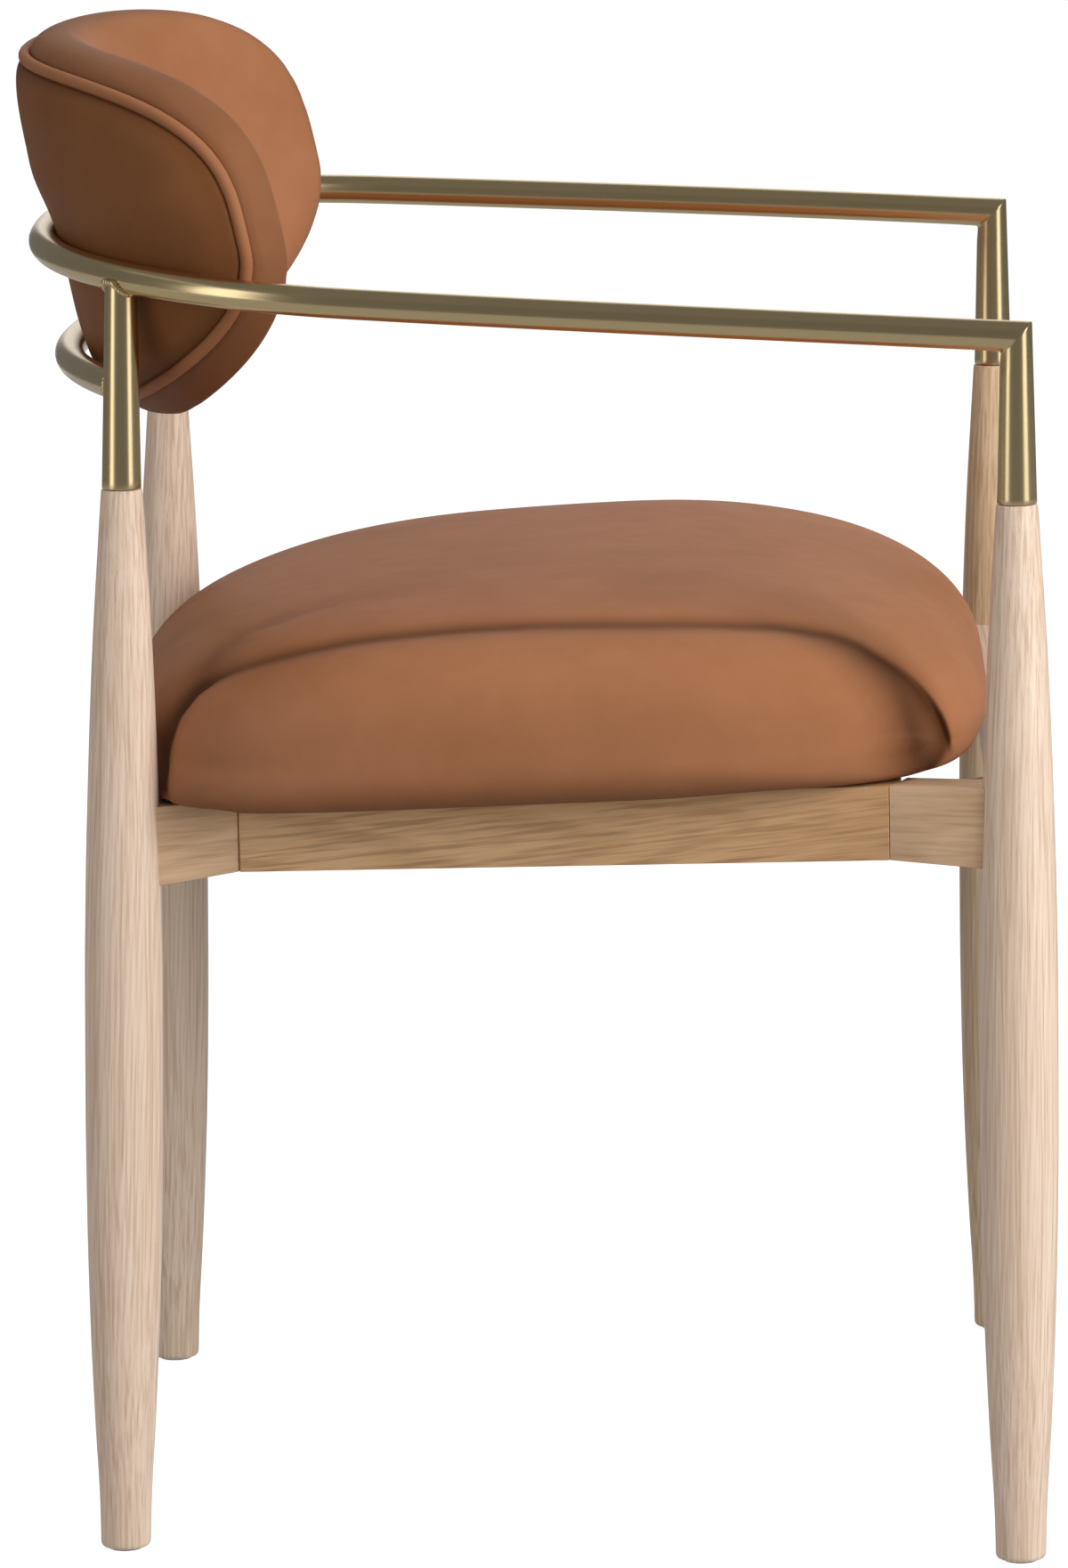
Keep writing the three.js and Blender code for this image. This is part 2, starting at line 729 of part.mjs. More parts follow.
// A closed skin from rings of equal length, with a point or a flat fan at each end.
function skin(rings, startPoint, endPoint, otherWayFrom = rings.length) {
  const count = rings[0].length;
  const places = [];
  const faces = [];
  for (const ring of rings) {
    for (const point of ring) {
      places.push(...point);
    }
  }
  for (let r = 0; r < rings.length - 1; r += 1) {
    for (let i = 0; i < count; i += 1) {
      const j = (i + 1) % count;
      const a = r * count + i;
      const b = r * count + j;
      if (r < otherWayFrom) {
        faces.push(a, b, b + count, a, b + count, a + count);
      } else {
        faces.push(a, b, a + count, b, b + count, a + count);
      }
    }
  }
  const first = rings.length * count;
  places.push(...startPoint, ...endPoint);
  for (let i = 0; i < count; i += 1) {
    const j = (i + 1) % count;
    faces.push(first, j, i);
    faces.push(first + 1, (rings.length - 1) * count + i, (rings.length - 1) * count + j);
  }
  const geometry = new THREE.BufferGeometry();
  geometry.setAttribute('position', new THREE.BufferAttribute(new Float32Array(places), 3));
  geometry.setIndex(faces);
  return geometry;
}

// Height and reach of the cushion's side at a turn from its underside (-1) over its widest line (0)
// to its crown (1). Reach is a share of the plan outline.
function cushionProfile(turn) {
  const angle = Math.abs(turn) * Math.PI / 2;
  const power = 2 / cushionDomeShare;
  if (turn >= 0) {
    const level = Math.sin(angle) ** power;
    const sideReach = (1 - level ** cushionSideShare) ** (1 / cushionSideShare);
    const height = cushion.widestUp + (cushion.crownUp - cushion.widestUp) * level;
    return { reach: Math.cos(angle) ** power, sideReach, height };
  }
  const drop = (cushion.widestUp - cushion.bottomLift) * Math.sin(angle);
  const reach = 1 - cushionTuckShare * (1 - Math.cos(angle));
  return { reach, sideReach: reach, height: cushion.widestUp - drop };
}

// The turn at which the side groove runs, an arch from corner to corner of each side.
function grooveTurn(x) {
  const along = Math.min(Math.abs(x) / cushion.grooveEnd, 1);
  const up = cushion.grooveUp * (1 - along ** grooveArchShare) ** (1 / grooveArchShare);
  const share = Math.max(up - cushion.widestUp, 0) / (cushion.crownUp - cushion.widestUp);
  return Math.asin(share ** (cushionDomeShare / 2)) * 2 / Math.PI;
}

// Turns of the cushion's rings: under the widest line, up to the groove, beside it, and over the dome.
const underTurnShares = [-1, -0.72, -0.45, -0.2, 0];
const sideTurnShares = [0.4, 0.75];
const grooveBesideShare = 0.06;
const domeTurnShares = [0.35, 0.62, 0.84];
const grooveRing = underTurnShares.length + sideTurnShares.length + 1;

function cushionColumn(angle) {
  const [edgeX, edgeY] = cushionPlan(angle, 0);
  const sideways = Math.min(Math.abs(edgeY) / (cushion.halfWidth * grooveSideShare), 1) ** grooveFadeShare;
  const groove = Math.max(grooveTurn(edgeX), grooveBesideShare * sideTurnShares.length);
  const past = groove + grooveBesideShare;
  const turns = [
    ...underTurnShares, ...sideTurnShares.map((share) => groove * share),
    groove - grooveBesideShare, groove, past, ...domeTurnShares.map((share) => past + (1 - past) * share),
  ];
  return turns.map((turn, ring) => {
    const { reach, sideReach, height } = cushionProfile(turn);
    const inset = ring === grooveRing ? cushion.grooveDepth * sideways : 0;
    const x = cushion.middleX + (edgeX - cushion.middleX) * reach - inset * Math.cos(angle);
    return [x, edgeY * sideReach - inset * Math.sin(angle), height - inset / 2];
  });
}

function makeCushion() {
  const columns = [];
  for (let i = 0; i < planCount; i += 1) {
    columns.push(cushionColumn((i / planCount) * Math.PI * 2));
  }
  const rings = columns[0].map((point, ring) => columns.map((column) => column[ring]));
  const body = skin(rings, [cushion.middleX, 0, cushion.bottomLift], [cushion.middleX, 0, cushion.crownUp]);
  const recess = slab(boardOutline(boardInset - clearance), -overrun, overrun + boardThick + clearance * 2);
  addPart('seat_cushion', cutBy(ontoFrame(body), [recess]), leather);
}

// The wrap of the backrest: a plan curve just inside the arm tube, read by its length from the middle.
function wrapAt(along, height, deep) {
  const total = armPath.getLength();
  const at = 0.5 + along / total;
  const centre = armPath.getPointAt(at);
  const tangent = armPath.getTangentAt(at).setZ(0).normalize();
  const inwards = new THREE.Vector3(tangent.y, -tangent.x, 0);
  const place = centre.clone().addScaledVector(inwards, back.fromTube + deep);
  const z = back.middleZ + height;
  const rise = z - hoopRear.z;
  const fade = Math.max(1 - (along / back.topReach) ** 2, 0) ** 2;
  return [place.x - rise * back.leanShare - Math.max(rise, 0) * back.topLeanShare * fade, place.y, z];
}

// The oval of the backrest in its own surface, grown by a rim, at an angle.
function backOval(angle, grow) {
  const c = Math.cos(angle);
  const s = Math.sin(angle);
  const share = s >= 0 ? backUpShare : backDownShare;
  const half = s >= 0 ? back.upHalf + grow.up : back.downHalf + grow.down;
  const reach = 1 / (Math.abs(c) ** share + Math.abs(s) ** share) ** (1 / share);
  return [(back.halfLength + grow.tip) * reach * c, half * reach * s];
}

function evenGrow(size) {
  return { tip: size, up: size, down: size };
}

// One face of a wrapped piece: rings from its middle out, or back in, at one depth.
const faceShares = [0.22, 0.44, 0.65, 0.84, 1];

function faceOut(grow, deep) {
  return faceShares.map((share) => ({ share, grow, deep }));
}

function faceIn(grow, deep) {
  return faceOut(grow, deep).reverse();
}

// A lens-like solid in the wrap: every ring is a share of the oval, its grow and its depth.
function wrapSolid(stages, startDeep, endDeep) {
  const rings = stages.map(({ share, grow, deep }) => {
    const ring = [];
    for (let i = 0; i < wrapCount; i += 1) {
      const [along, height] = backOval((i / wrapCount) * Math.PI * 2, grow);
      ring.push(wrapAt(along * share, height * share, deep));
    }
    return ring;
  });
  const firstIn = stages.findIndex((stage, i) => i > 0 && stage.share < stages[i - 1].share);
  return skin(rings, wrapAt(0, 0, startDeep), wrapAt(0, 0, endDeep), firstIn - 1);
}

const shellGrow = evenGrow(-shellInset);

function makeShell(holes) {
  const shellFront = shellDeep + shellThick;
  const stages = [...faceOut(shellGrow, shellDeep), ...faceIn(shellGrow, shellFront)];
  const shell = wrapSolid(stages, shellDeep, shellFront);
  addPart('backrest_shell', cutBy(shell, holes), plywood);
}

// How deep each ring of the rear panel's face lies, as shares of the panel.
const panelLensShares = [0, 0.02, 0.08, 0.28, 0.6];

function makeRearPanel(holes) {
  const seam = evenGrow(-pipingRadius - clearance);
  const edge = [{ share: 1, grow: seam, deep: panelRound }, { share: 1, grow: seam, deep: panelDeep }];
  const face = faceOut(shellGrow, 0).map((stage, i) => ({ ...stage, deep: panelDeep * panelLensShares[i] }));
  const panel = wrapSolid([...face, ...edge, ...faceIn(shellGrow, panelDeep)], 0, panelDeep);
  addPart('backrest_rear_panel', cutBy(panel, holes), leather);
}

// How far the pad swells past the seam, and how deep, as shares of its rim.
const padBulgeShares = [[0.7, 0.62], [1, 0.98], [0.35, 1.36]];

function makeFrontPad() {
  const padBack = shellDeep + shellThick + clearance;
  const rim = (size) => ({ tip: padRim.tip * size, up: padRim.up * size, down: padRim.down * size });
  const seam = evenGrow(-pipingRadius);
  const stages = [
    ...faceOut(shellGrow, padBack),
    { share: 1, grow: seam, deep: pipingDeep + pipingRadius + clearance },
    ...padBulgeShares.map(([grow, deep]) => ({ share: 1, grow: rim(grow), deep: padRim.deep * deep })),
    ...faceIn(rim(0), padDeep).map((stage) => ({ ...stage, share: stage.share * padFaceShare })),
  ];
  addPart('backrest_front_pad', wrapSolid(stages, padBack, padDeep), leather);
}

class SeamCurve extends THREE.Curve {
  getPoint(t, target = new THREE.Vector3()) {
    const [along, height] = backOval(t * Math.PI * 2, evenGrow(clearance));
    return target.set(...wrapAt(along, height, pipingDeep));
  }
}

// Piping: a closed ring of round section along the seam.
function makePiping() {
  const seam = new SeamCurve();
  const rings = [];
  for (let i = 0; i < pipingSteps; i += 1) {
    const centre = seam.getPoint(i / pipingSteps);
    const tangent = seam.getTangent(i / pipingSteps);
    const [along, height] = backOval((i / pipingSteps) * Math.PI * 2, evenGrow(overrun));
    const sideways = new THREE.Vector3(...wrapAt(along, height, pipingDeep)).sub(centre).normalize();
    const third = tangent.clone().cross(sideways).normalize();
    const ring = [];
    for (let k = 0; k < pipingSides; k += 1) {
      const angle = (k / pipingSides) * Math.PI * 2;
      const point = centre.clone().addScaledVector(sideways, Math.cos(angle) * pipingRadius);
      point.addScaledVector(third, Math.sin(angle) * pipingRadius);
      ring.push(point);
    }
    rings.push(ring);
  }
  const places = rings.flat().flatMap((point) => [point.x, point.y, point.z]);
  const faces = [];
  for (let i = 0; i < pipingSteps; i += 1) {
    for (let k = 0; k < pipingSides; k += 1) {
      const a = i * pipingSides + k;
      const b = i * pipingSides + (k + 1) % pipingSides;
      const c = ((i + 1) % pipingSteps) * pipingSides + (k + 1) % pipingSides;
      const d = ((i + 1) % pipingSteps) * pipingSides + k;
      faces.push(a, b, c, a, c, d);
    }
  }
  const geometry = new THREE.BufferGeometry();
  geometry.setAttribute('position', new THREE.BufferAttribute(new Float32Array(places), 3));
  geometry.setIndex(faces);
  addPart('backrest_piping', geometry, leather);
}

for (const corner of corners) {
  makeLeg(corner);
  makeStud(`${corner.name}_stud`, corner.end, corner.side);
  makeGlide(`${corner.name}_glide`, corner.end, corner.side);
  makeBlock(corner);
  makeBrace(corner);
  makeScrew(`${corner.name}_seat_screw`, seatScrewLine(corner));
  addPart(`${corner.name}_side_dowel`, dowelBar(corner.sideDowel, 0), ash);
  addPart(`${corner.name}_cross_dowel`, dowelBar(corner.crossDowel, 0), ash);
}
for (const [sideName, side] of sideNames) {
  makeFrontPost(`front_${sideName}_post`, side);
  makeRearPost(`rear_${sideName}_post`, side);
  makeSideRail(`${sideName}_side_rail`, side);
}
for (const [endName, end] of endNames) {
  makeCrossRail(`${endName}_rail`, end);
}
makeArmLoop();
makeLowerHoop();
makeSeatBoard();
makeDustCover();
makeCushion();
makeShell([...screwsOfBack.map(screwHole), ...screwsOfBack.map(headHole)]);
makeRearPanel(screwsOfBack.map(screwHole));
makeFrontPad();
makePiping();
for (const screw of screwsOfBack) {
  makeScrew(screw.name, screw);
}

// The origin goes on the floor in the middle of the whole chair.
const whole = new THREE.Box3().setFromObject(chair);
for (const mesh of chair.children) {
  mesh.geometry.translate(-(whole.min.x + whole.max.x) / 2, 0, -whole.min.z);
}

export default chair;
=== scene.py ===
import math

import bmesh
import bpy
import numpy as np
from mathutils import Matrix, Vector


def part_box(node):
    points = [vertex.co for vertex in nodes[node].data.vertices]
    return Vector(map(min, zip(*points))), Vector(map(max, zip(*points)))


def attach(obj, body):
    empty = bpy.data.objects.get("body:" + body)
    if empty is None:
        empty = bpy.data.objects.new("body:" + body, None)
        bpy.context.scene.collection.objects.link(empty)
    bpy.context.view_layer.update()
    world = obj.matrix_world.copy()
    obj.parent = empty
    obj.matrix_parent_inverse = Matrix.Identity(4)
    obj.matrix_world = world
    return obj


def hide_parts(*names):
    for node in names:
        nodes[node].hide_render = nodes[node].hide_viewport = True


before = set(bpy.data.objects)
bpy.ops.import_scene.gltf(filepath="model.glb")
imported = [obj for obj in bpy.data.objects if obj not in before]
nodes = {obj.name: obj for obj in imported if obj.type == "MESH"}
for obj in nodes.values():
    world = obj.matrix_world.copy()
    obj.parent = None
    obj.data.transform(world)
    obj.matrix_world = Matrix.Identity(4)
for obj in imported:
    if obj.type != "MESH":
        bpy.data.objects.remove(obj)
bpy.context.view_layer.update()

# The CAD keeps its origin in the middle of its box. Sizes below are measured from the middle of the
# floor between the legs, in millimetres, and the front foot tells how far the two lie apart.
frontFootX = 233.5
glideLow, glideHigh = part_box("front_left_glide")
frameShift = (glideLow.x + glideHigh.x) / 2 - frontFootX / 1000


def toRow(points):
    out = np.array(points, float) / 1000
    out[..., 0] += frameShift
    return out


def smoothStep(low, high, value):
    t = np.clip((np.asarray(value, float) - low) / (high - low), 0, 1)
    return t * t * (3 - 2 * t)


def unit(vectors):
    return vectors / np.maximum(np.linalg.norm(vectors, axis=-1, keepdims=True), 1e-9)


# The distance walked at each of a row of points.
def walkedAlong(points):
    return np.r_[0, np.cumsum(np.linalg.norm(np.diff(points, axis=0), axis=1))]


def addToScene(name, data):
    obj = bpy.data.objects.new(name, data)
    bpy.context.scene.collection.objects.link(obj)
    return obj


def newMesh(name, points, edges, faces):
    mesh = bpy.data.meshes.new(name)
    mesh.from_pydata([tuple(p) for p in np.asarray(points).reshape(-1, 3)], edges, faces)
    mesh.update()
    return mesh


# Hides the CAD pieces that a piece is shown for.
def standFor(obj, slotName, *replaced):
    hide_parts(*replaced)


def paint(data, material):
    data.materials.clear()
    data.materials.append(material)


# A copy of a CAD piece that takes its place, still to be shaped.
def copyOf(node, ending, material):
    obj = addToScene(node + ending, nodes[node].data.copy())
    paint(obj.data, material)
    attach(obj, "root")
    return obj


# A closed skin over rings of equal length, in millimetres, capped at both ends.
def addSkin(name, rings, material):
    points = toRow(rings)
    ringCount, count = points.shape[:2]
    last = (ringCount - 1) * count
    faces = []
    for r in range(0, last, count):
        for i in range(count):
            j = (i + 1) % count
            faces.append((r + i, r + j, r + count + j, r + count + i))
    faces.append(tuple(range(count - 1, -1, -1)))
    faces.append(tuple(last + i for i in range(count)))
    mesh = newMesh(name, points, [], faces)
    mesh.polygons.foreach_set("use_smooth", [True] * len(faces))
    paint(mesh, material)
    obj = addToScene(name, mesh)
    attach(obj, "root")
    return obj


def turnAngles(count):
    return np.arange(count) / count * 2 * math.pi


def bezier(a, b, c, d, steps=80):
    t = np.linspace(0, 1, steps)[:, None]
    a, b, c, d = (np.array(p, float) for p in (a, b, c, d))
    return a * (1 - t) ** 3 + 3 * b * t * (1 - t) ** 2 + 3 * c * t * t * (1 - t) + d * t ** 3


# Lines end to end, with each shared point kept once.
def joined(parts):
    return np.vstack([parts[0]] + [part[1:] for part in parts[1:]])


# Angles that lie evenly along a closed outline, and closer together where it is denser.
def evenAngles(count, outline, densityAt=lambda x, y: np.ones(len(x))):
    fine = np.linspace(0, 2 * math.pi, 12001)
    x, y = outline(fine)
    walk = np.r_[0, np.cumsum(np.hypot(np.diff(x), np.diff(y)) * densityAt(x, y)[1:])]
    return np.interp(np.arange(count) / count * walk[-1], walk, fine)


# A path with equal steps.
def evenPath(points, steps):
    lengths = walkedAlong(points)
    at = np.linspace(0, lengths[-1], steps)
    return np.stack([np.interp(at, lengths, points[:, k]) for k in range(3)], 1), lengths[-1]


def pathTangents(points):
    return unit(np.gradient(points, axis=0))


def sweepRings(points, radius, sides):
    tangents = pathTangents(points)
    sideways = unit(np.cross(tangents, [0, 0, 1.0]))
    over = np.cross(sideways, tangents)
    turn = turnAngles(sides)[:, None]
    return points[:, None] + radius * (np.cos(turn) * sideways[:, None] + np.sin(turn) * over[:, None])


# Colours are written as the eye sees them and turned into linear light.
def colour(text):
    values = [int(text[i:i + 2], 16) / 255 for i in (1, 3, 5)]
    return (*[v / 12.92 if v <= 0.04045 else ((v + 0.055) / 1.055) ** 2.4 for v in values], 1.0)


# Links a socket to an input, or writes a plain value there.
def putInto(tree, socket, value):
    if isinstance(value, bpy.types.NodeSocket):
        tree.links.new(value, socket)
    else:
        socket.default_value = value


# Adds a node with its settings and links to a node tree.
def addNode(tree, kind, links=None, **settings):
    node = tree.nodes.new(kind)
    for key, value in settings.items():
        setattr(node, key, value)
    for key, value in (links or {}).items():
        putInto(tree, node.inputs[key], value)
    return node


# A material whose nodes are added one call at a time.
class Shader:
    def __init__(self, name):
        self.material = bpy.data.materials.new(name)
        self.material.use_nodes = True
        self.tree = self.material.node_tree
        self.surface = self.tree.nodes["Principled BSDF"]

    def add(self, kind, links=None, **settings):
        return addNode(self.tree, kind, links, **settings)

    def set(self, **values):
        for key, value in values.items():
            putInto(self.tree, self.surface.inputs[key.replace("_", " ")], value)

    def math(self, operation, a, b=0.0, c=0.0):
        return self.add("ShaderNodeMath", {0: a, 1: b, 2: c}, operation=operation).outputs[0]

    def vectorMath(self, operation, a, b):
        return self.add("ShaderNodeVectorMath", {0: a, 1: b}, operation=operation).outputs[0]

    def scaled(self, vector, scale):
        return self.vectorMath("MULTIPLY", vector, scale)

    def noise(self, vector, scale, detail, roughness=0.5, output="Fac"):
        links = {"Vector": vector, "Scale": scale, "Detail": detail, "Roughness": roughness}
        return self.add("ShaderNodeTexNoise", links).outputs[output]

    def ramp(self, factor, stops):
        node = self.add("ShaderNodeValToRGB", {"Fac": factor})
        while len(node.color_ramp.elements) < len(stops):
            node.color_ramp.elements.new(0.5)
        for element, (place, value) in zip(node.color_ramp.elements, stops):
            element.position = place
            element.color = (value, value, value, 1)
        return node.outputs["Color"]

    def mix(self, factor, a, b):
        node = self.add("ShaderNodeMix", {"Factor": factor}, data_type="RGBA")
        for socket, value in zip([s for s in node.inputs if s.type == "RGBA"], (a, b)):
            putInto(self.tree, socket, value)
        return [s for s in node.outputs if s.type == "RGBA"][0]

    def bump(self, height, distance, strength):
        links = {"Height": height, "Distance": distance, "Strength": strength}
        return self.add("ShaderNodeBump", links).outputs["Normal"]


# Ash under a thin satin lacquer. The attribute "grain" holds each piece's own directions: z runs along it.
# Widths and gaps are in metres, and the four scales are across, across and along the grain.
ashLook = {
    "light": "#FAE5D1", "dark": "#D8B598", "ringGap": 0.0029, "yearWidth": 0.0045, "pithAway": 0.052,
    "pithTilt": 0.045, "waver": 0.009, "pores": 0.25, "poreTone": "#8F6A48", "streak": 0.44,
    "streakWide": 0.0008, "streakLong": 0.12, "streakTone": "#B9916E", "drift": 0.0, "shadeDriftStart": -0.08,
    "shadeDriftEnd": 0.2, "roughness": 0.5, "coat": 0.35, "coatRoughness": 0.13, "grainDepth": 0.00008,
    "waverScale": (16, 16, 2.2), "fibreScale": (1400, 1400, 14), "broadScale": (90, 90, 2.0),
    "poreScale": (2300, 2300, 45),
}
# The far leg's ash is yellower and darker as painted shade for the leg that stands in shade, and its pith
# lies nearer for its own grain.
farShadedAshLook = dict(ashLook, light="#F1D8B6", dark="#C39C72", pithAway=0.012, streakTone="#A47C52")
# The side rails darken along their length towards the front with painted shade, where the light falls
# brighter.
railLook = dict(ashLook, light="#EBC293", dark="#B68A5F", ringGap=0.0036, pithAway=0.09, waver=0.012,
                pores=0.4, streak=0.5, streakWide=0.0013, streakLong=0.03, streakTone="#8F673F", drift=0.7,
                coat=0.1)
blockLook = dict(ashLook, light="#EAC6A0", dark="#C39A74", ringGap=0.0036, pithAway=0.04, streak=0.3,
                 streakWide=0.0016, streakLong=0.03, streakTone="#9A7350", coat=0.1)


def makeAsh(name, look):
    s = Shader(name)
    grain = s.add("ShaderNodeAttribute", attribute_name="grain").outputs["Vector"]
    slow = s.noise(s.scaled(grain, look["waverScale"]), 1, 3, output="Color")
    centred = s.vectorMath("SUBTRACT", slow, (0.5, 0.5, 0.5))
    moved = s.vectorMath("ADD", grain, s.scaled(centred, (look["waver"], look["waver"], 0)))
    x, y, z = s.add("ShaderNodeSeparateXYZ", {0: moved}).outputs
    # Growth rings lie round a pith beside the piece and show as long, slightly tilted lines.
    across = s.math("ADD", s.math("ADD", x, look["pithAway"]), s.math("MULTIPLY", z, look["pithTilt"]))
    squares = s.math("ADD", s.math("MULTIPLY", across, across), s.math("MULTIPLY", y, y))
    plainRadius = s.math("SQRT", squares)
    yearly = s.add("ShaderNodeTexNoise", {"W": plainRadius, "Scale": 210.0, "Detail": 2.0},
                   noise_dimensions="1D").outputs["Fac"]
    radius = s.math("MULTIPLY_ADD", yearly, look["yearWidth"], plainRadius)
    ring = s.math("FRACT", s.math("DIVIDE", radius, look["ringGap"]))
    late = s.ramp(ring, [(0, 0.55), (0.12, 0.1), (0.55, 0.18), (0.86, 0.7), (1, 0.55)])
    fibre = s.noise(s.scaled(grain, look["fibreScale"]), 1, 2)
    broad = s.noise(s.scaled(grain, look["broadScale"]), 1, 3)
    fine, coarse = 0.6 / look["streakWide"], 0.6 / look["streakLong"]
    streak = s.noise(s.scaled(moved, (fine, fine, coarse)), 1, 2)
    pore = s.noise(s.scaled(grain, look["poreScale"]), 1, 1)
    pores = s.ramp(pore, [(0, 1), (0.33, 1), (0.4, 0), (1, 0)])
    poreHere = s.math("MULTIPLY", s.math("MULTIPLY", pores, s.math("ADD", late, 0.25)), look["pores"])
    # Painted shade that darkens the piece along its grain towards one end, set only on the side rails.
    drift = s.add("ShaderNodeMapRange", {
        "Value": z, "From Min": look["shadeDriftStart"], "From Max": look["shadeDriftEnd"], "To Max": look["drift"]})
    # Each layer is laid over the ones before it.
    tone, dark = colour(look["light"]), colour(look["dark"])
    for share, layer in (
            (s.math("MULTIPLY", late, 0.55), dark), (s.ramp(broad, [(0.3, 0), (0.7, 0.35)]), dark),
            (drift.outputs["Result"], dark), (s.ramp(fibre, [(0.35, 0), (0.75, 0.25)]), dark),
            (s.ramp(streak, [(0.46, 0), (0.66, look["streak"])]), colour(look["streakTone"])),
            (poreHere, colour(look["poreTone"]))):
        tone = s.mix(share, tone, layer)
    s.set(Base_Color=tone, Roughness=look["roughness"], IOR=1.45)
    s.set(Coat_Weight=look["coat"], Coat_Roughness=look["coatRoughness"])
    s.set(Normal=s.bump(s.math("SUBTRACT", fibre, poreHere), look["grainDepth"], 0.6))
    return s.material


# Champagne-brass finish on steel, satin, with very fine drawn lines.
brassLook = {
    "tone": "#DAC396", "roughness": 0.24, "roughDrift": 0.06, "lineScale": 900.0, "lineDepth": 0.000004,
}


def makeBrass():
    s = Shader("champagne brass, satin plated steel")
    place = s.add("ShaderNodeTexCoord").outputs["Object"]
    drift = s.noise(place, 9, 2)
    fine = s.noise(place, brassLook["lineScale"], 1)
    lowest = brassLook["roughness"] - brassLook["roughDrift"] / 2
    rough = s.math("MULTIPLY_ADD", drift, brassLook["roughDrift"], lowest)
    s.set(Base_Color=colour(brassLook["tone"]), Metallic=1.0, Roughness=rough)
    s.set(Normal=s.bump(fine, brassLook["lineDepth"], 0.4))
    return s.material


# Matt tan leather with a fine pebble grain and soft clouds. An attribute darkens it towards a deep brown
# as painted shade, where folds, seams and low edges would lie in shade.
leatherLook = {
    "light": "#AF7653", "dark": "#9F6946", "paintedShadeLight": "#8C5932", "paintedShadeDark": "#7D4D2B",
    "paintedShade": "#4E2C14", "grainSize": 0.0011, "grainDepth": 0.00008, "grainWaver": 0.0006,
    "cloudScale": 11.0, "patchScale": 60.0, "roughness": 0.6, "roughDrift": 0.12, "gloss": 0.2,
}


def makeLeather(name, light, dark):
    look = leatherLook
    s = Shader(name)
    place = s.add("ShaderNodeTexCoord").outputs["Object"]
    clouds = s.noise(place, look["cloudScale"], 5, 0.6)
    patches = s.noise(place, look["patchScale"], 3, 0.6)
    scale = 1 / look["grainSize"]
    jitter = s.noise(place, scale * 0.6, 2, output="Color")
    bent = s.vectorMath("ADD", place, s.scaled(jitter, [look["grainWaver"]] * 3))
    cells = s.add("ShaderNodeTexVoronoi", {"Vector": bent, "Scale": scale}).outputs["Distance"]
    soft = s.noise(place, scale * 0.35, 3)
    height = s.math("MULTIPLY_ADD", soft, 0.7, s.math("MULTIPLY", cells, -0.6))
    paintedShade = s.add("ShaderNodeAttribute", attribute_name="paintedShade").outputs["Fac"]
    tone = s.mix(s.ramp(clouds, [(0.3, 0), (0.7, 1)]), colour(light), colour(dark))
    tone = s.mix(s.ramp(patches, [(0.35, 0), (0.8, 0.25)]), tone, colour(dark))
    tone = s.mix(paintedShade, tone, colour(look["paintedShade"]))
    rough = s.math("MULTIPLY_ADD", patches, look["roughDrift"], look["roughness"] - look["roughDrift"] / 2)
    s.set(Base_Color=tone, Roughness=rough, IOR=1.42, Specular_IOR_Level=look["gloss"])
    s.set(Normal=s.bump(height, look["grainDepth"], 0.5))
    return s.material


def makePlain(name, tone, roughness, metallic=0.0):
    s = Shader(name)
    s.set(Base_Color=colour(tone), Roughness=roughness, Metallic=metallic)
    return s.material


legAsh = makeAsh("ash, lacquered, legs", ashLook)
farShadedLegAsh = makeAsh("ash, lacquered, yellower with painted shade, far leg", farShadedAshLook)
railAsh = makeAsh("ash, lacquered, rails", railLook)
blockAsh = makeAsh("ash, lacquered, blocks", blockLook)
brass = makeBrass()
leather = makeLeather("matt full-grain leather, tan", leatherLook["light"], leatherLook["dark"])
# The rear panel has the same tan leather painted darker, as shade for a panel that faces away from the
# light.
shadedRearLeather = makeLeather("matt leather, tan with painted shade, rear panel", leatherLook["paintedShadeLight"],
                          leatherLook["paintedShadeDark"])
plywood = makePlain("birch plywood", "#CDB083", 0.7)
bareAsh = makePlain("ash, unlacquered, dowels", "#DCC09A", 0.8)
steel = makePlain("zinc-plated steel", "#9A9C9E", 0.35, 1.0)
nylon = makePlain("dark nylon", "#26262A", 0.5)
cloth = makePlain("black non-woven cloth", "#1E1E20", 0.95)
print("materials made")


def setGrain(obj, origin, along, offset):
    along = unit(np.array(along, float))
    first = unit(np.cross(along, [0, 0, 1.0] if abs(along[2]) < 0.9 else [0, 1.0, 0]))
    second = np.cross(along, first)
    co = np.zeros(len(obj.data.vertices) * 3)
    obj.data.vertices.foreach_get("co", co)
    local = co.reshape(-1, 3) - np.array(origin)
    values = np.stack([local @ first, local @ second, local @ along], 1) + np.array(offset)
    attribute = obj.data.attributes.new("grain", "FLOAT_VECTOR", "POINT")
    attribute.data.foreach_set("vector", values.astype(np.float32).ravel())


def setPaintedShade(obj, values):
    attribute = obj.data.attributes.new("paintedShade", "FLOAT", "POINT")
    attribute.data.foreach_set("value", np.asarray(values, np.float32).ravel())


# Leg axes and the turned profile, in millimetres.
front = {"footX": frontFootX, "footHalf": 254, "topX": 237.5, "topHalf": 262, "topZ": 640,
         "legTop": 554.4}
rear = {"footX": -234.5, "footHalf": 207, "topX": -220.5, "topHalf": 182, "topZ": 668.4,
        "legTop": 558.2}
legLook = {
    "foot": 13, "belly": 20.3, "top": 10.7, "footRound": 2.5, "topChamfer": 0.9, "sides": 72,
    "lift": 1, "under": 2, "topInner": 6, "steps": 110,
}
bellyShares = [
    (0, 0), (0.042, 0.09), (0.125, 0.44), (0.215, 0.73), (0.31, 0.91), (0.42, 0.995), (0.53, 1),
    (0.64, 0.915), (0.73, 0.765), (0.81, 0.6), (0.88, 0.41), (0.945, 0.19), (1, 0),
]


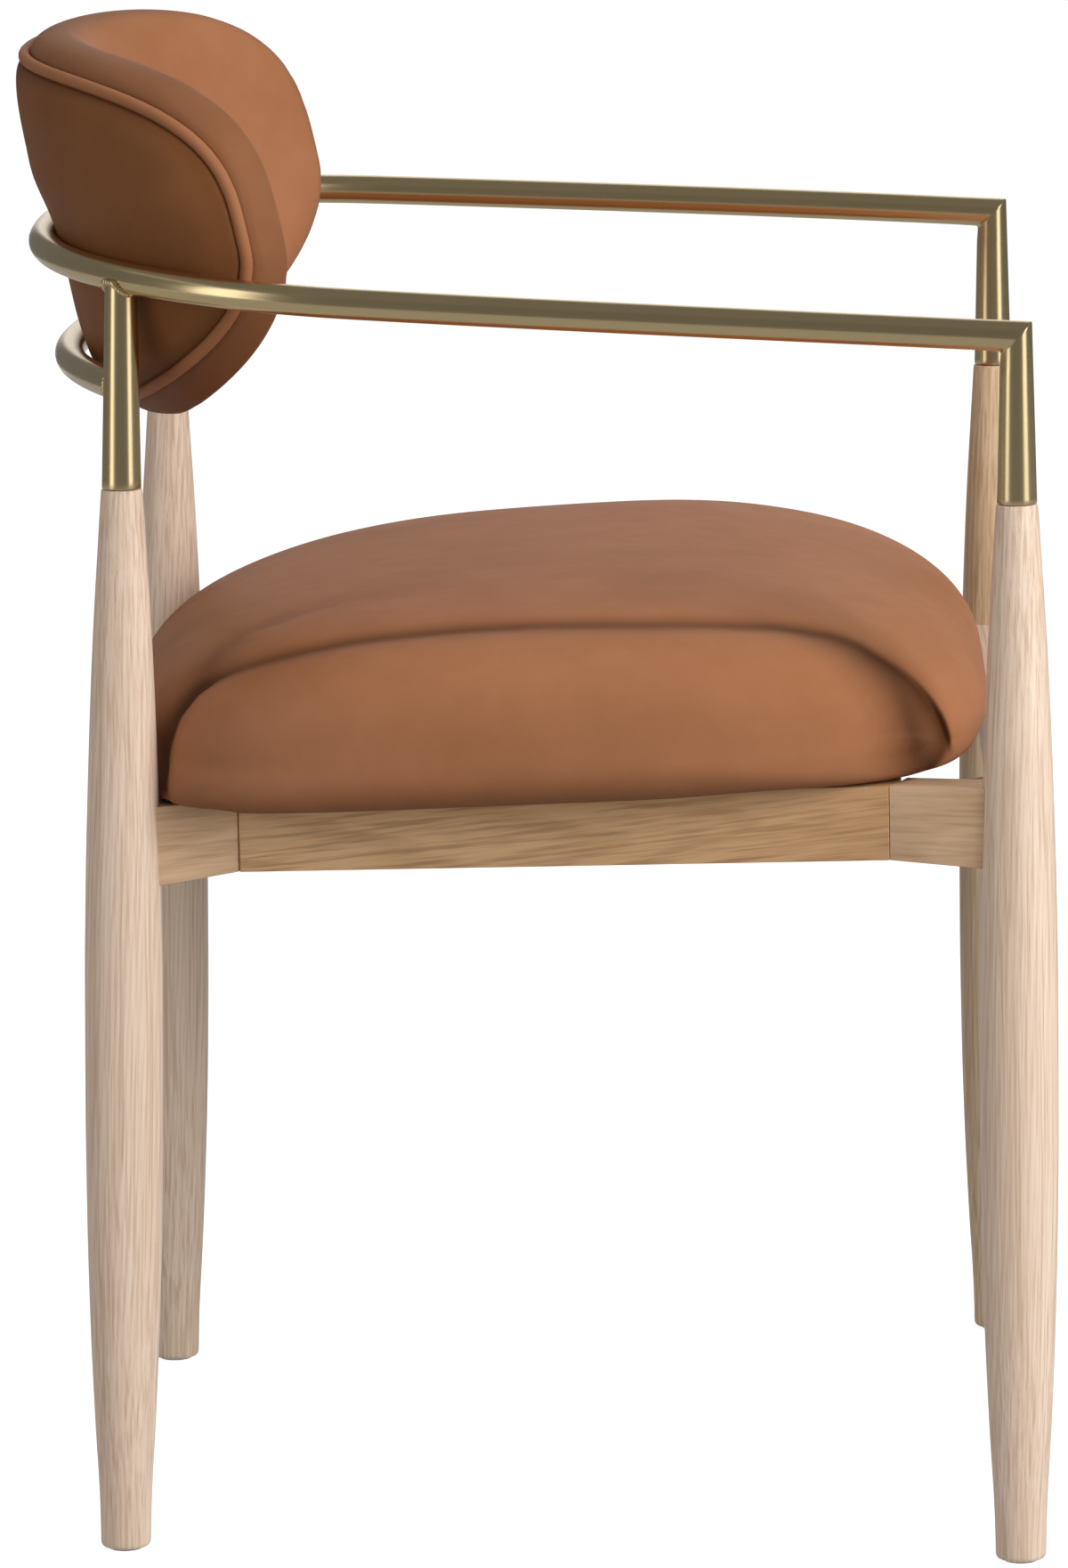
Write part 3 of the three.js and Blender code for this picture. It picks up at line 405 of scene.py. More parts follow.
def axisAt(end, side, z):
    share = np.asarray(z, float) / end["topZ"]
    x = end["footX"] + (end["topX"] - end["footX"]) * share
    half = end["footHalf"] + (end["topHalf"] - end["footHalf"]) * share
    return np.stack([x, side * half, np.asarray(z, float) + 0 * x], -1)


# A smooth curve through table points that never swings past them.
def smoothTable(table, at):
    x, y = (np.array(v, float) for v in zip(*table))
    slope = np.diff(y) / np.diff(x)
    lean = np.zeros(len(x))
    lean[0], lean[-1] = slope[0], slope[-1]
    for k in range(1, len(x) - 1):
        if slope[k - 1] * slope[k] > 0:
            lean[k] = 2 * slope[k - 1] * slope[k] / (slope[k - 1] + slope[k])
    k = np.clip(np.searchsorted(x, at) - 1, 0, len(x) - 2)
    width = x[k + 1] - x[k]
    t = (at - x[k]) / width
    return ((2 * t ** 3 - 3 * t ** 2 + 1) * y[k] + (t ** 3 - 2 * t ** 2 + t) * width * lean[k]
            + (3 * t ** 2 - 2 * t ** 3) * y[k + 1] + (t ** 3 - t ** 2) * width * lean[k + 1])


# Rings round a leg's axis, from radius and height pairs.
def revolved(end, side, profile, sides):
    angles = turnAngles(sides)
    circle = np.stack([np.cos(angles), np.sin(angles), 0 * angles], 1)
    return np.array([circle * radius + axisAt(end, side, z) for radius, z in profile])


def makeLeg(name, end, side, offset):
    look = legLook
    base, foot, top = look["lift"], look["foot"], look["top"]
    rounding, chamfer = look["footRound"], look["topChamfer"]
    profile = [(look["under"], base)]
    for angle in np.linspace(0, math.pi / 2, 7):
        profile.append((foot - rounding + rounding * math.sin(angle),
                        base + rounding - rounding * math.cos(angle)))
    heights = np.linspace(base + rounding + 1.5, end["legTop"] - 2.2, look["steps"])
    share = (heights - base) / (end["legTop"] - base)
    slim = foot + (top - foot) * share
    radii = slim + (look["belly"] - slim) * smoothTable(bellyShares, share)
    profile += list(zip(radii, heights))
    for angle in np.linspace(0, math.pi / 2, 5):
        profile.append((top - chamfer + chamfer * math.cos(angle),
                        end["legTop"] - chamfer + chamfer * math.sin(angle)))
    profile.append((look["topInner"], end["legTop"]))
    ash = farShadedLegAsh if name == "front_left_leg" else legAsh
    obj = addSkin(name + "_turned", revolved(end, side, profile, look["sides"]), ash)
    low, high = toRow(axisAt(end, side, 0)), toRow(axisAt(end, side, end["legTop"]))
    setGrain(obj, low, high - low, offset)
    standFor(obj, "ash", name)


sideNames = [("right", -1), ("left", 1)]
makeLeg("front_right_leg", front, -1, (0.004, -0.006, 0.3))
makeLeg("front_left_leg", front, 1, (0.02, 0.01, 1.4))
makeLeg("rear_right_leg", rear, -1, (-0.008, 0.004, 2.2))
makeLeg("rear_left_leg", rear, 1, (0.012, -0.012, 3.1))
print("legs made")


# A Geometry Nodes tree that works on a path, with named number inputs in metres.
class PathTree:
    def __init__(self, name, **inputs):
        self.tree = bpy.data.node_groups.new(name, "GeometryNodeTree")
        interface = self.tree.interface
        interface.new_socket("Path", in_out="INPUT", socket_type="NodeSocketGeometry")
        for label, value in inputs.items():
            kind = "NodeSocketInt" if isinstance(value, int) else "NodeSocketFloat"
            interface.new_socket(label, in_out="INPUT", socket_type=kind).default_value = value
        interface.new_socket("Mesh", in_out="OUTPUT", socket_type="NodeSocketGeometry")
        self.inputs = addNode(self.tree, "NodeGroupInput").outputs

    def add(self, kind, links, **settings):
        return addNode(self.tree, kind, links, **settings).outputs[0]

    # A round bar along the path, with a flat end where the path is open.
    def addBar(self, sides):
        curve = self.add("GeometryNodeMeshToCurve", {"Mesh": self.inputs["Path"]})
        circle = self.add("GeometryNodeCurvePrimitiveCircle", {
            "Resolution": sides, "Radius": self.inputs["Radius"]})
        bar = self.add("GeometryNodeCurveToMesh", {
            "Curve": curve, "Profile Curve": circle, "Fill Caps": True})
        return curve, bar

    def finish(self, geometry, material):
        real = self.add("GeometryNodeRealizeInstances", {"Geometry": geometry})
        smooth = self.add("GeometryNodeSetShadeSmooth", {0: real})
        done = self.add("GeometryNodeSetMaterial", {"Geometry": smooth, "Material": material})
        addNode(self.tree, "NodeGroupOutput", {0: done})


# Runs a tree on a path in millimetres and keeps the result as a plain mesh.
def runTree(name, path, closed, tree, **values):
    count = len(path)
    edges = [(i, (i + 1) % count) for i in range(count if closed else count - 1)]
    obj = addToScene(name, newMesh(name, toRow(path), edges, []))
    modifier = obj.modifiers.new("tree", "NODES")
    modifier.node_group = tree.tree
    for item in tree.tree.interface.items_tree:
        if item.name in values:
            modifier[item.identifier] = values[item.name]
    made = obj.evaluated_get(bpy.context.evaluated_depsgraph_get())
    mesh = bpy.data.meshes.new_from_object(made)
    obj.modifiers.remove(modifier)
    obj.data = mesh
    outwards = bmesh.new()
    outwards.from_mesh(mesh)
    bmesh.ops.recalc_face_normals(outwards, faces=outwards.faces)
    outwards.to_mesh(mesh)
    outwards.free()
    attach(obj, "root")
    return obj


# A plain round bar, used for the lower tube and the piping.
def makeBarTree(name, material):
    tree = PathTree(name, Radius=0.008, Sides=24)
    tree.finish(tree.addBar(tree.inputs["Sides"])[1], material)
    return tree


# Tubes. The places are on the near side, and the far side mirrors them.
tubeLook = {
    "radius": 7.9, "armBow": (130, -263, 647), "armMiddle": (0, -257.5, 654),
    "armBend": (-100, -246.5, 660), "bendHandle": 90, "rearHandle": (-273, -165, 671.5),
    "armRear": (-273, 0, 669), "pastCorner": 12, "lowHeight": 611, "lowLeave": (-245, -135, 611),
    "lowTurn": (-261, -60, 608), "lowRear": (-261, 0, 608), "lowSides": 40, "sharp": 50,
}
tubeRadius = tubeLook["radius"]
upright = np.array([0, 0, 1.0])


def tubePoint(name, side=-1):
    return np.array(tubeLook[name], float) * [1, -side, 1]


def bothSides(half):
    return joined([half, (half * [1, -1, 1])[::-1]])


def armLine():
    corner = axisAt(front, -1, front["topZ"])
    bow, middle, bend = (tubePoint(name) for name in ("armBow", "armMiddle", "armBend"))
    heading = unit(bend - middle) * tubeLook["bendHandle"]
    ahead = corner + unit(corner - bow) * tubeLook["pastCorner"]
    return bothSides(joined([
        np.array([ahead, corner]), bezier(corner, bow, middle, bend),
        bezier(bend, bend + heading, tubePoint("rearHandle"), tubePoint("armRear")),
    ]))


def lowLine():
    end = axisAt(rear, -1, tubeLook["lowHeight"])
    return bothSides(bezier(end, *(tubePoint(name) for name in ("lowLeave", "lowTurn", "lowRear"))))


armPoints, armLength = evenPath(armLine(), 2001)
armTangents = pathTangents(armPoints)
armAlong = np.linspace(-armLength / 2, armLength / 2, len(armPoints))
lowPoints = evenPath(lowLine(), 121)[0]


def sharpenByAngle(obj, degrees):
    mesh = bmesh.new()
    mesh.from_mesh(obj.data)
    for edge in mesh.edges:
        if len(edge.link_faces) == 2:
            edge.smooth = edge.calc_face_angle(0) < math.radians(degrees)
    mesh.to_mesh(obj.data)
    mesh.free()


postLook = {
    "foot": 10.3, "top": 8.2, "gap": 0.4, "inner": 6, "cornerRound": 1.3, "cornerLead": 16,
    "sides": 48, "frontRows": 22, "mitreRows": 9, "rearRows": 30, "sharp": 35,
}


def postRadius(end, z):
    start = end["legTop"] + postLook["gap"]
    share = (np.asarray(z, float) - start) / (end["topZ"] - start)
    return postLook["foot"] + (postLook["top"] - postLook["foot"]) * share


# Radius and height of the rings at a post's foot, whose edge is eased.
def postFoot(end):
    start, foot = end["legTop"] + postLook["gap"], postLook["foot"]
    return [(postLook["inner"], start), (foot - 0.5, start), (foot - 0.12, start + 0.2)]


# The welded corner: the post turns into the arm over a mitre whose edge is ground a little round.
def cornerRings(side):
    corner = axisAt(front, side, front["topZ"])
    up = unit(corner - axisAt(front, side, 0))
    back = unit(tubePoint("armBow", side) - corner)
    sideways = unit(np.cross(back, up))
    overPost, overArm = np.cross(sideways, up), np.cross(sideways, back)
    outer = (overPost + overArm) / (1 + overPost @ overArm)
    turn = turnAngles(postLook["sides"])[:, None]
    cosines, sines = np.cos(turn), np.sin(turn)
    profile = postFoot(front)
    start = profile[0][1]
    profile.append((postLook["foot"], start + 0.8))
    for z in np.linspace(start + 3, front["topZ"] - postLook["cornerLead"], postLook["frontRows"]):
        profile.append((postRadius(front, z), z))
    circle = cosines * sideways + sines * overPost
    rings = [axisAt(front, side, z) + radius * circle for radius, z in profile]
    radius = (postLook["top"] + tubeRadius) / 2
    mitre = corner + radius * (cosines * sideways + sines * outer)
    low = mitre - up * postLook["cornerRound"]
    far = mitre + back * postLook["cornerRound"]
    for t in np.linspace(0, 1, postLook["mitreRows"]):
        rings.append((1 - t) ** 2 * low + 2 * t * (1 - t) * mitre + t * t * far)
    return rings


def makeTubes():
    sides = postLook["sides"]
    reach = armLength / 2 - tubeLook["pastCorner"] - postLook["cornerLead"]
    tube = sweepRings(armPoints[np.abs(armAlong) < reach][::6], tubeRadius, sides)
    # Both corners are laid out with their own turn, so the left one is read backwards to join on.
    left = [ring[(-np.arange(sides)) % sides] for ring in cornerRings(1)]
    rings = [*cornerRings(-1), *tube, *left[::-1]]
    # Each ring starts nearest to the start of the one before it.
    for k in range(1, len(rings)):
        gaps = [np.linalg.norm(np.roll(rings[k], -shift, 0)[::8] - rings[k - 1][::8], axis=1).sum()
                for shift in range(sides)]
        rings[k] = np.roll(rings[k], -int(np.argmin(gaps)), 0)
    arm = addSkin("arm_and_front_posts", rings, brass)
    sharpenByAngle(arm, tubeLook["sharp"])
    standFor(arm, "brass", "arm_loop", "front_right_post", "front_left_post")
    low = runTree("lower_tube", lowPoints, False, makeBarTree("tube", brass), Radius=tubeRadius / 1000,
                  Sides=tubeLook["lowSides"])
    standFor(low, "brass", "lower_hoop")


def makeRearPost(sideName, side):
    profile = postFoot(rear)
    heights = np.linspace(profile[0][1] + 0.8, rear["topZ"] - 3, postLook["rearRows"])
    profile += [(postRadius(rear, z), z) for z in heights]
    name = f"rear_{sideName}_post"
    obj = addSkin(name + "_turned", revolved(rear, side, profile, postLook["sides"]), brass)
    sharpenByAngle(obj, postLook["sharp"])
    standFor(obj, "brass", name)


# A weld bead: a thin bar along the seam with the drops of the weld set on it at an even pitch.
weldLook = {
    "radius": 1.35, "drop": 1.65, "pitch": 2.1, "sides": 10, "seamPoints": 160, "belowTop": 8,
    "standOff": 0.2, "most": 0.97,
}


def makeWeldTree():
    tree = PathTree("weld bead", Radius=0.0014, Drop=0.0017, Pitch=0.0021)
    seam, bar = tree.addBar(weldLook["sides"])
    even = tree.add("GeometryNodeResampleCurve", {
        "Curve": seam, "Length": tree.inputs["Pitch"]}, mode="LENGTH")
    drop = tree.add("GeometryNodeMeshIcoSphere", {"Radius": tree.inputs["Drop"], "Subdivisions": 2})
    drops = tree.add("GeometryNodeInstanceOnPoints", {"Points": even, "Instance": drop})
    both = addNode(tree.tree, "GeometryNodeJoinGeometry")
    for part in (drops, bar):
        tree.tree.links.new(part, both.inputs[0])
    tree.finish(both.outputs[0], brass)
    return tree


weldTree = makeWeldTree()


def makeBead(name, seam):
    sizes = {key.title(): weldLook[key] / 1000 for key in ("radius", "drop", "pitch")}
    obj = runTree(name, seam, True, weldTree, **sizes)


def levelAcross(along):
    return unit(np.array([-along[1], along[0], 0]))


def makeWelds(sideName, side):
    turn = turnAngles(weldLook["seamPoints"])[:, None]
    cosines, sines = np.cos(turn), np.sin(turn)
    # The post's top against the underside of the arm tube.
    index = int(np.argmin(np.abs(armPoints[:, 0] - rear["topX"]) + 1000 * (armPoints[:, 1] * side < 0)))
    along = armTangents[index]
    place = axisAt(rear, side, rear["topZ"] - weldLook["belowTop"])
    base = np.array([*place[:2], armPoints[index, 2]])
    radius = postRadius(rear, place[2]) + weldLook["standOff"]
    most = tubeRadius * weldLook["most"]
    across = np.clip(sines * radius, -most, most)
    drop = np.sqrt(tubeRadius ** 2 - across ** 2)
    seam = base + cosines * radius * along + across * levelAcross(along) - drop * upright
    makeBead(f"weld_upper_{sideName}", seam)
    # The lower hoop's end against the side of the post.
    end = axisAt(rear, side, tubeLook["lowHeight"])
    along = unit((lowPoints[8] if side < 0 else lowPoints[-9]) - end)
    radius = postRadius(rear, tubeLook["lowHeight"])
    most = radius * weldLook["most"]
    across = np.clip(cosines * tubeRadius, -most, most)
    reach = np.sqrt(radius ** 2 - across ** 2)
    seam = end + across * levelAcross(along) + sines * tubeRadius * upright + reach * along
    makeBead(f"weld_lower_{sideName}", seam)


makeTubes()
for sideName, side in sideNames:
    makeRearPost(sideName, side)
    makeWelds(sideName, side)
print("tubes and posts made")


# Seat frame: copies of the CAD pieces with eased edges and grain along each piece.
edgeLook = {"width": 0.0004, "segments": 3, "shortest": 0.012, "flat": 4, "bevelled": 50, "sharp": 32}


def easedCopy(node, material, along, offset):
    look = edgeLook
    obj = copyOf(node, "_eased", material)
    mesh = bmesh.new()
    mesh.from_mesh(obj.data)
    bmesh.ops.remove_doubles(mesh, verts=mesh.verts, dist=1e-5)
    bmesh.ops.dissolve_limit(
        mesh, angle_limit=math.radians(look["flat"]), verts=mesh.verts, edges=mesh.edges)
    edges = [e for e in mesh.edges if len(e.link_faces) == 2 and e.calc_length() > look["shortest"]
             and e.calc_face_angle(0) > math.radians(look["bevelled"])]
    bmesh.ops.bevel(mesh, geom=edges, offset=look["width"], segments=look["segments"], profile=0.5,
                    affect="EDGES", clamp_overlap=True)
    bmesh.ops.triangulate(mesh, faces=mesh.faces)
    for face in mesh.faces:
        face.smooth = True
    mesh.to_mesh(obj.data)
    mesh.free()
    sharpenByAngle(obj, look["sharp"])
    low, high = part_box(node)
    setGrain(obj, (low + high) / 2, along, offset)
    standFor(obj, "ash_frame", node)


for k, (sideName, side) in enumerate(sideNames):
    easedCopy(f"{sideName}_side_rail", railAsh, (345.5, side * 59.3, 45), (0.01, 0.03 * k, k * 1.3))
    easedCopy(f"front_{sideName}_block", blockAsh, (68, side * 27, 2), (0.015, 0.02, 4 + k))
    easedCopy(f"rear_{sideName}_block", blockAsh, (66, side * -21, 2), (-0.01, 0.05, 6 + k))
for k, endName in enumerate(("front", "rear")):
    easedCopy(f"{endName}_rail", legAsh, (0, 1, 0), (0.02, 0.04, 8 + k))
print("seat frame eased")

# The photograph shows daylight over the front corner braces, so they are drawn as thinner plates.
braceLook = {"drop": 0.0125}


def makeThinBrace(name):
    obj = copyOf(name, "_plate", plywood)
    low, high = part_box(name)
    for vertex in obj.data.vertices:
        if vertex.co.z > (low.z + high.z) / 2:
            vertex.co.z -= braceLook["drop"]
    standFor(obj, "plywood", name)


for sideName, side in sideNames:
    makeThinBrace(f"front_{sideName}_brace")

# Seat cushion, in millimetres above the frame's sloping top.
frameTop, frameRise = 400.4, 0.0365
cushionLook = {
    "halfLength": 229, "middleX": -4, "halfWidth": 257, "taper": 0.055, "bottom": 1.3, "droop": 1.8,
    "widest": 27, "widestFront": 14, "crown": 97, "tilt": 0.008, "corner": 3.7, "cornerLow": 5.4,
    "dome": 2.2, "sideDome": 3.5, "tuck": 0.055, "tuckFront": 0.015, "bottomEdgeShade": 0.5, "paintedShadeShare": 0.9,
    "columns": 640, "lowRows": 26, "highRows": 120, "crowdFront": 2.6, "crowdRear": 1.2, "fill": 0.8,
}
# The soft channel round each side panel: x, sideways and height, then its depth, its reach inwards and
# outwards, and how much painted shade darkens it.
channel = [
    (-207, 196, 6, 4, 9, 11, 0.6), (-210, 186, 16, 7, 11, 13, 0.75), (-210, 181, 24, 8, 12, 13, 0.8),
    (-207, 184, 37, 8, 12, 13, 0.85), (-201, 179, 51, 8, 13, 13, 0.9), (-190, 174, 60, 6.5, 14, 12, 0.9),
    (-178, 177, 66, 4.5, 15, 12, 0.8), (-163, 182, 71, 3.4, 16, 11, 0.75),
    (-146, 187, 75, 3, 16, 10, 0.75), (-127, 190, 79, 2.8, 16, 9, 0.78),
    (-104, 192, 83, 2.8, 16, 8.5, 0.8), (-71, 195, 85.2, 2.8, 16, 8, 0.8),
    (-30, 197, 85.7, 2.7, 16, 8, 0.78),
    (12, 201.3, 85.6, 2.5, 16, 8, 0.72), (58, 205.3, 83.7, 2.5, 16, 8, 0.72),
    (93, 203.4, 81.8, 2.8, 16, 8, 0.75), (116, 198.4, 79, 3.2, 17, 8, 0.85),
    (138, 200, 74, 4.2, 18, 8, 0.9), (154, 204, 67, 5, 19, 7.5, 0.95),
    (165, 209, 60, 6.5, 20, 7, 1), (178, 210, 50, 8, 21, 6.5, 1), (188, 210, 39, 9.5, 22, 6, 1),
    (194, 207, 29, 10.5, 23, 5.5, 1), (198, 204, 20, 11, 23, 5, 1), (200, 202, 12, 11, 23, 5, 1),
    (198, 210, 8, 9, 20, 5, 1), (193, 220, 4, 6, 17, 5, 1),
]
# The faint second roll on the rear part of the near side's top, with a little painted shade.
softFold = [
    (-195, 193, 49, 0.5, 14, 15, 0.2), (-191, 179, 59, 1.4, 15, 16, 0.35),
    (-185, 159, 67, 1.8, 16, 16, 0.4), (-177, 139, 72, 1.5, 16, 16, 0.35),
    (-163, 119, 78, 1.3, 16, 16, 0.3), (-140, 113, 84, 1.1, 16, 16, 0.25),
    (-117, 106, 88, 0.7, 16, 16, 0.15), (-83, 116, 92, 0.3, 16, 16, 0.05),
]


# The cushion's outline seen from above: a rounded square that widens to the front.
def cushionPlan(angle, corner=cushionLook["corner"]):
    c, s = np.cos(angle), np.sin(angle)
    power = 2 / corner
    x = cushionLook["middleX"] + cushionLook["halfLength"] * np.sign(c) * np.abs(c) ** power
    half = cushionLook["halfWidth"] + cushionLook["taper"] * x
    return x, half * np.sign(s) * np.abs(s) ** power


# How far a channel along both sides draws each point in, and how much painted shade darkens it.
def channelAt(points, table):
    table = np.array(table, float)
    walk = walkedAlong(table[:, :3])
    at = np.linspace(0, walk[-1], 400)
    dense = np.stack([smoothTable(list(zip(walk, column)), at) for column in table.T], 1)
    folded = points * [1, 0, 1] + np.abs(points) * [0, 1, 0]
    near, nearest = np.zeros(len(points)), np.zeros(len(points), int)
    for start in range(0, len(points), 4000):
        part = slice(start, start + 4000)
        gap = np.linalg.norm(folded[part, None] - dense[None, :, :3], axis=2)
        nearest[part], near[part] = gap.argmin(1), gap.min(1)
    # The table's line runs a little off the surface, so distance counts from where it comes closest.
    lift = np.full(len(dense), 1e9)
    np.minimum.at(lift, nearest, near)
    found = np.flatnonzero(lift < 1e8)
    lift = np.interp(np.arange(len(dense)), found, lift[found])
    lift = np.convolve(np.pad(lift, 6, mode="edge"), np.ones(13) / 13, "valid")
    tangent = np.gradient(dense[:, :3], axis=0)
    outwards = unit(np.stack([-tangent[:, 2], 0 * tangent[:, 1], tangent[:, 0]], 1))
    offset = folded - dense[nearest, :3]
    side = smoothStep(-0.7, 0.7, (offset * outwards[nearest]).sum(1) / (near + 0.5))
    reach = dense[nearest, 4] * (1 - side) + dense[nearest, 5] * side
    near = np.sqrt(np.maximum(near ** 2 - lift[nearest] ** 2, 0))
    depth = dense[nearest, 3] * np.exp(-(near / reach) ** 1.8)
    # The painted shade fades slowly towards the panel and quickly towards the roll.
    return depth, dense[nearest, 6] * np.exp(-(near / reach / (0.65 + 0.2 * side)) ** (1.5 + 0.3 * side))


def gridNormals(rings):
    along = np.roll(rings, -1, 1) - np.roll(rings, 1, 1)
    return unit(np.cross(along, np.gradient(rings, axis=0)))


# The columns stand closer together at the corners, where the channels come down.
def cornerDensity(x, y):
    look = cushionLook
    ends = look["crowdFront"] * smoothStep(110, 170, x) + look["crowdRear"] * smoothStep(110, 170, -x)
    return 1 + smoothStep(80, 150, np.abs(y)) * ends


def makeCushion():
    look = cushionLook
    middle = look["middleX"]
    angles = evenAngles(look["columns"], cushionPlan, cornerDensity)
    planX, planY = cushionPlan(angles)
    widest = look["widest"] + (look["widestFront"] - look["widest"]) * smoothStep(-40, 200, planX)
    # Between the rear corner and the middle the lower edge hangs a little over the side rail.
    droop = look["droop"] * smoothStep(-175, -140, planX) * (1 - smoothStep(20, 90, planX))
    tuck = look["tuck"] + look["tuckFront"] * smoothStep(0, 200, planX)
    rings = []
    for turn in np.linspace(1, 0, look["lowRows"])[:-1] * math.pi / 2:
        share = math.sin(turn)
        x, y = cushionPlan(angles, look["corner"] + (look["cornerLow"] - look["corner"]) * share ** 2)
        reach = 1 - tuck * (1 - math.cos(turn))
        height = widest - (widest - look["bottom"] + droop) * share
        rings.append(np.stack([middle + (x - middle) * reach, y * reach, height], 1))
    for turn in np.linspace(0, 1, look["highRows"]) * math.pi / 2:
        level = math.sin(turn) ** (2 / look["dome"])
        reach = max(math.cos(turn), 1e-4) ** (2 / look["dome"])
        sideReach = max(1 - level ** look["sideDome"], 1e-4) ** (1 / look["sideDome"])
        x = middle + (planX - middle) * reach
        height = widest + (look["crown"] + look["tilt"] * x - widest) * level
        rings.append(np.stack([x, planY * sideReach, height], 1))
    under = [rings[0] * [share, share, 0] + [0, 0, look["bottom"]] for share in (0.05, 0.6, 0.93)]
    rings = np.array(under + rings)
    normals = gridNormals(rings).reshape(-1, 3)
    flat = rings.reshape(-1, 3)
    # The channel's depth draws the leather in, and its tone is painted shade in the groove.
    depth, tone = channelAt(flat, channel)
    foldDepth, foldShade = (v * (flat[:, 1] < 0) for v in channelAt(flat, softFold))
    # The channel runs out before the middle of the front, the rear and the underside.
    sideFade = smoothStep(60, 100, np.abs(flat[:, 1]))
    fade = sideFade * smoothStep(-2, 4, flat[:, 2])
    # Painted shade darkens the lowest 22 millimetres of the cushion, over the rails.
    edge = look["bottomEdgeShade"] * (1 - smoothStep(1, 22, flat[:, 2]))
    # At the front the channel goes straight into the side, which leaves the roll ahead of it sharp.
    ahead = smoothStep(100, 165, flat[:, :1])
    direction = unit(np.sign(flat[:, 1:2]) * [0, -1, 0] * ahead - normals * (1 - ahead))
    flat = flat + direction * ((depth + foldDepth) * fade)[:, None]
    flat[:, 2] += frameTop + frameRise * flat[:, 0]
    obj = addSkin("seat_cushion_sewn", flat.reshape(rings.shape), leather)
    # The attribute holds the painted shade of the channels, the faint roll and the lower edge.
    setPaintedShade(obj, np.minimum(np.maximum((tone + foldShade) * sideFade, edge), 1) * look["paintedShadeShare"])
    standFor(obj, "leather", "seat_cushion")


makeCushion()
print("cushion made")

# Backrest, laid out in the wrap: along the hoop, height from the oval's middle, depth from its back.
backLook = {
    "middleZ": 684, "lean": 0.2, "halfLength": 266, "upHalf": 80.5, "downHalf": 98, "fromTube": 8.6,
    "topLean": 0.11, "topReach": 230, "upShare": 3.6, "downShare": 1.87, "pipingRadius": 3.3,
    "pipingOut": 2.2, "pipingDeep": 14, "padDeep": 60, "rim": (12.5, 14, 11.5),
    "rimDeep": 39, "domeReach": 72, "dome": 2.3, "seamDeep": 17, "seamIn": 0.8, "seamHidden": 0.8,
    "seamShade": 0.75, "rimShade": 0.35, "lowShade": 0.55, "mostShade": 0.8, "panelSeamShade": 0.45,
    "seamReach": 7, "bulge": 2.5, "bulgeUp": 21, "bulgeHalf": 16, "panelDeep": 12,
    "panelHidden": 13.4, "panelReach": 60, "columns": 300, "rimRows": 26, "domeRows": 36, "flatRows": 23,
    "pipingColumns": 420, "pipingSides": 14, "fill": 0.6,
}


def wrapAt(along, height, deep):
    look = backLook
    along, height, deep = np.broadcast_arrays(*(np.asarray(v, float) for v in (along, height, deep)))
    centre = np.stack([np.interp(along, armAlong, armPoints[:, k]) for k in range(2)], -1)
    tangent = unit(np.stack([np.interp(along, armAlong, armTangents[:, k]) for k in range(2)], -1))
    inwards = np.stack([tangent[..., 1], -tangent[..., 0]], -1)
    place = centre + inwards * (look["fromTube"] + deep)[..., None]
    z = look["middleZ"] + height
    rise = z - tubeLook["armRear"][2]
    fade = np.maximum(1 - (along / look["topReach"]) ** 2, 0) ** 2
    x = place[..., 0] - rise * look["lean"] - np.maximum(rise, 0) * look["topLean"] * fade
    return np.stack([x, place[..., 1], z], -1)


# The seam's outline in the wrap, grown all round or by its ends, its top and its bottom.
def backOval(angle, grow=0.0):
    look = backLook
    tip, up, down = np.broadcast_to(grow, 3)
    c, s = np.cos(angle), np.sin(angle)
    share = np.where(s >= 0, look["upShare"], look["downShare"])
    half = np.where(s >= 0, look["upHalf"] + up, look["downHalf"] + down)
    reach = 1 / (np.abs(c) ** share + np.abs(s) ** share) ** (1 / share)
    return (look["halfLength"] + tip) * reach * c, half * reach * s


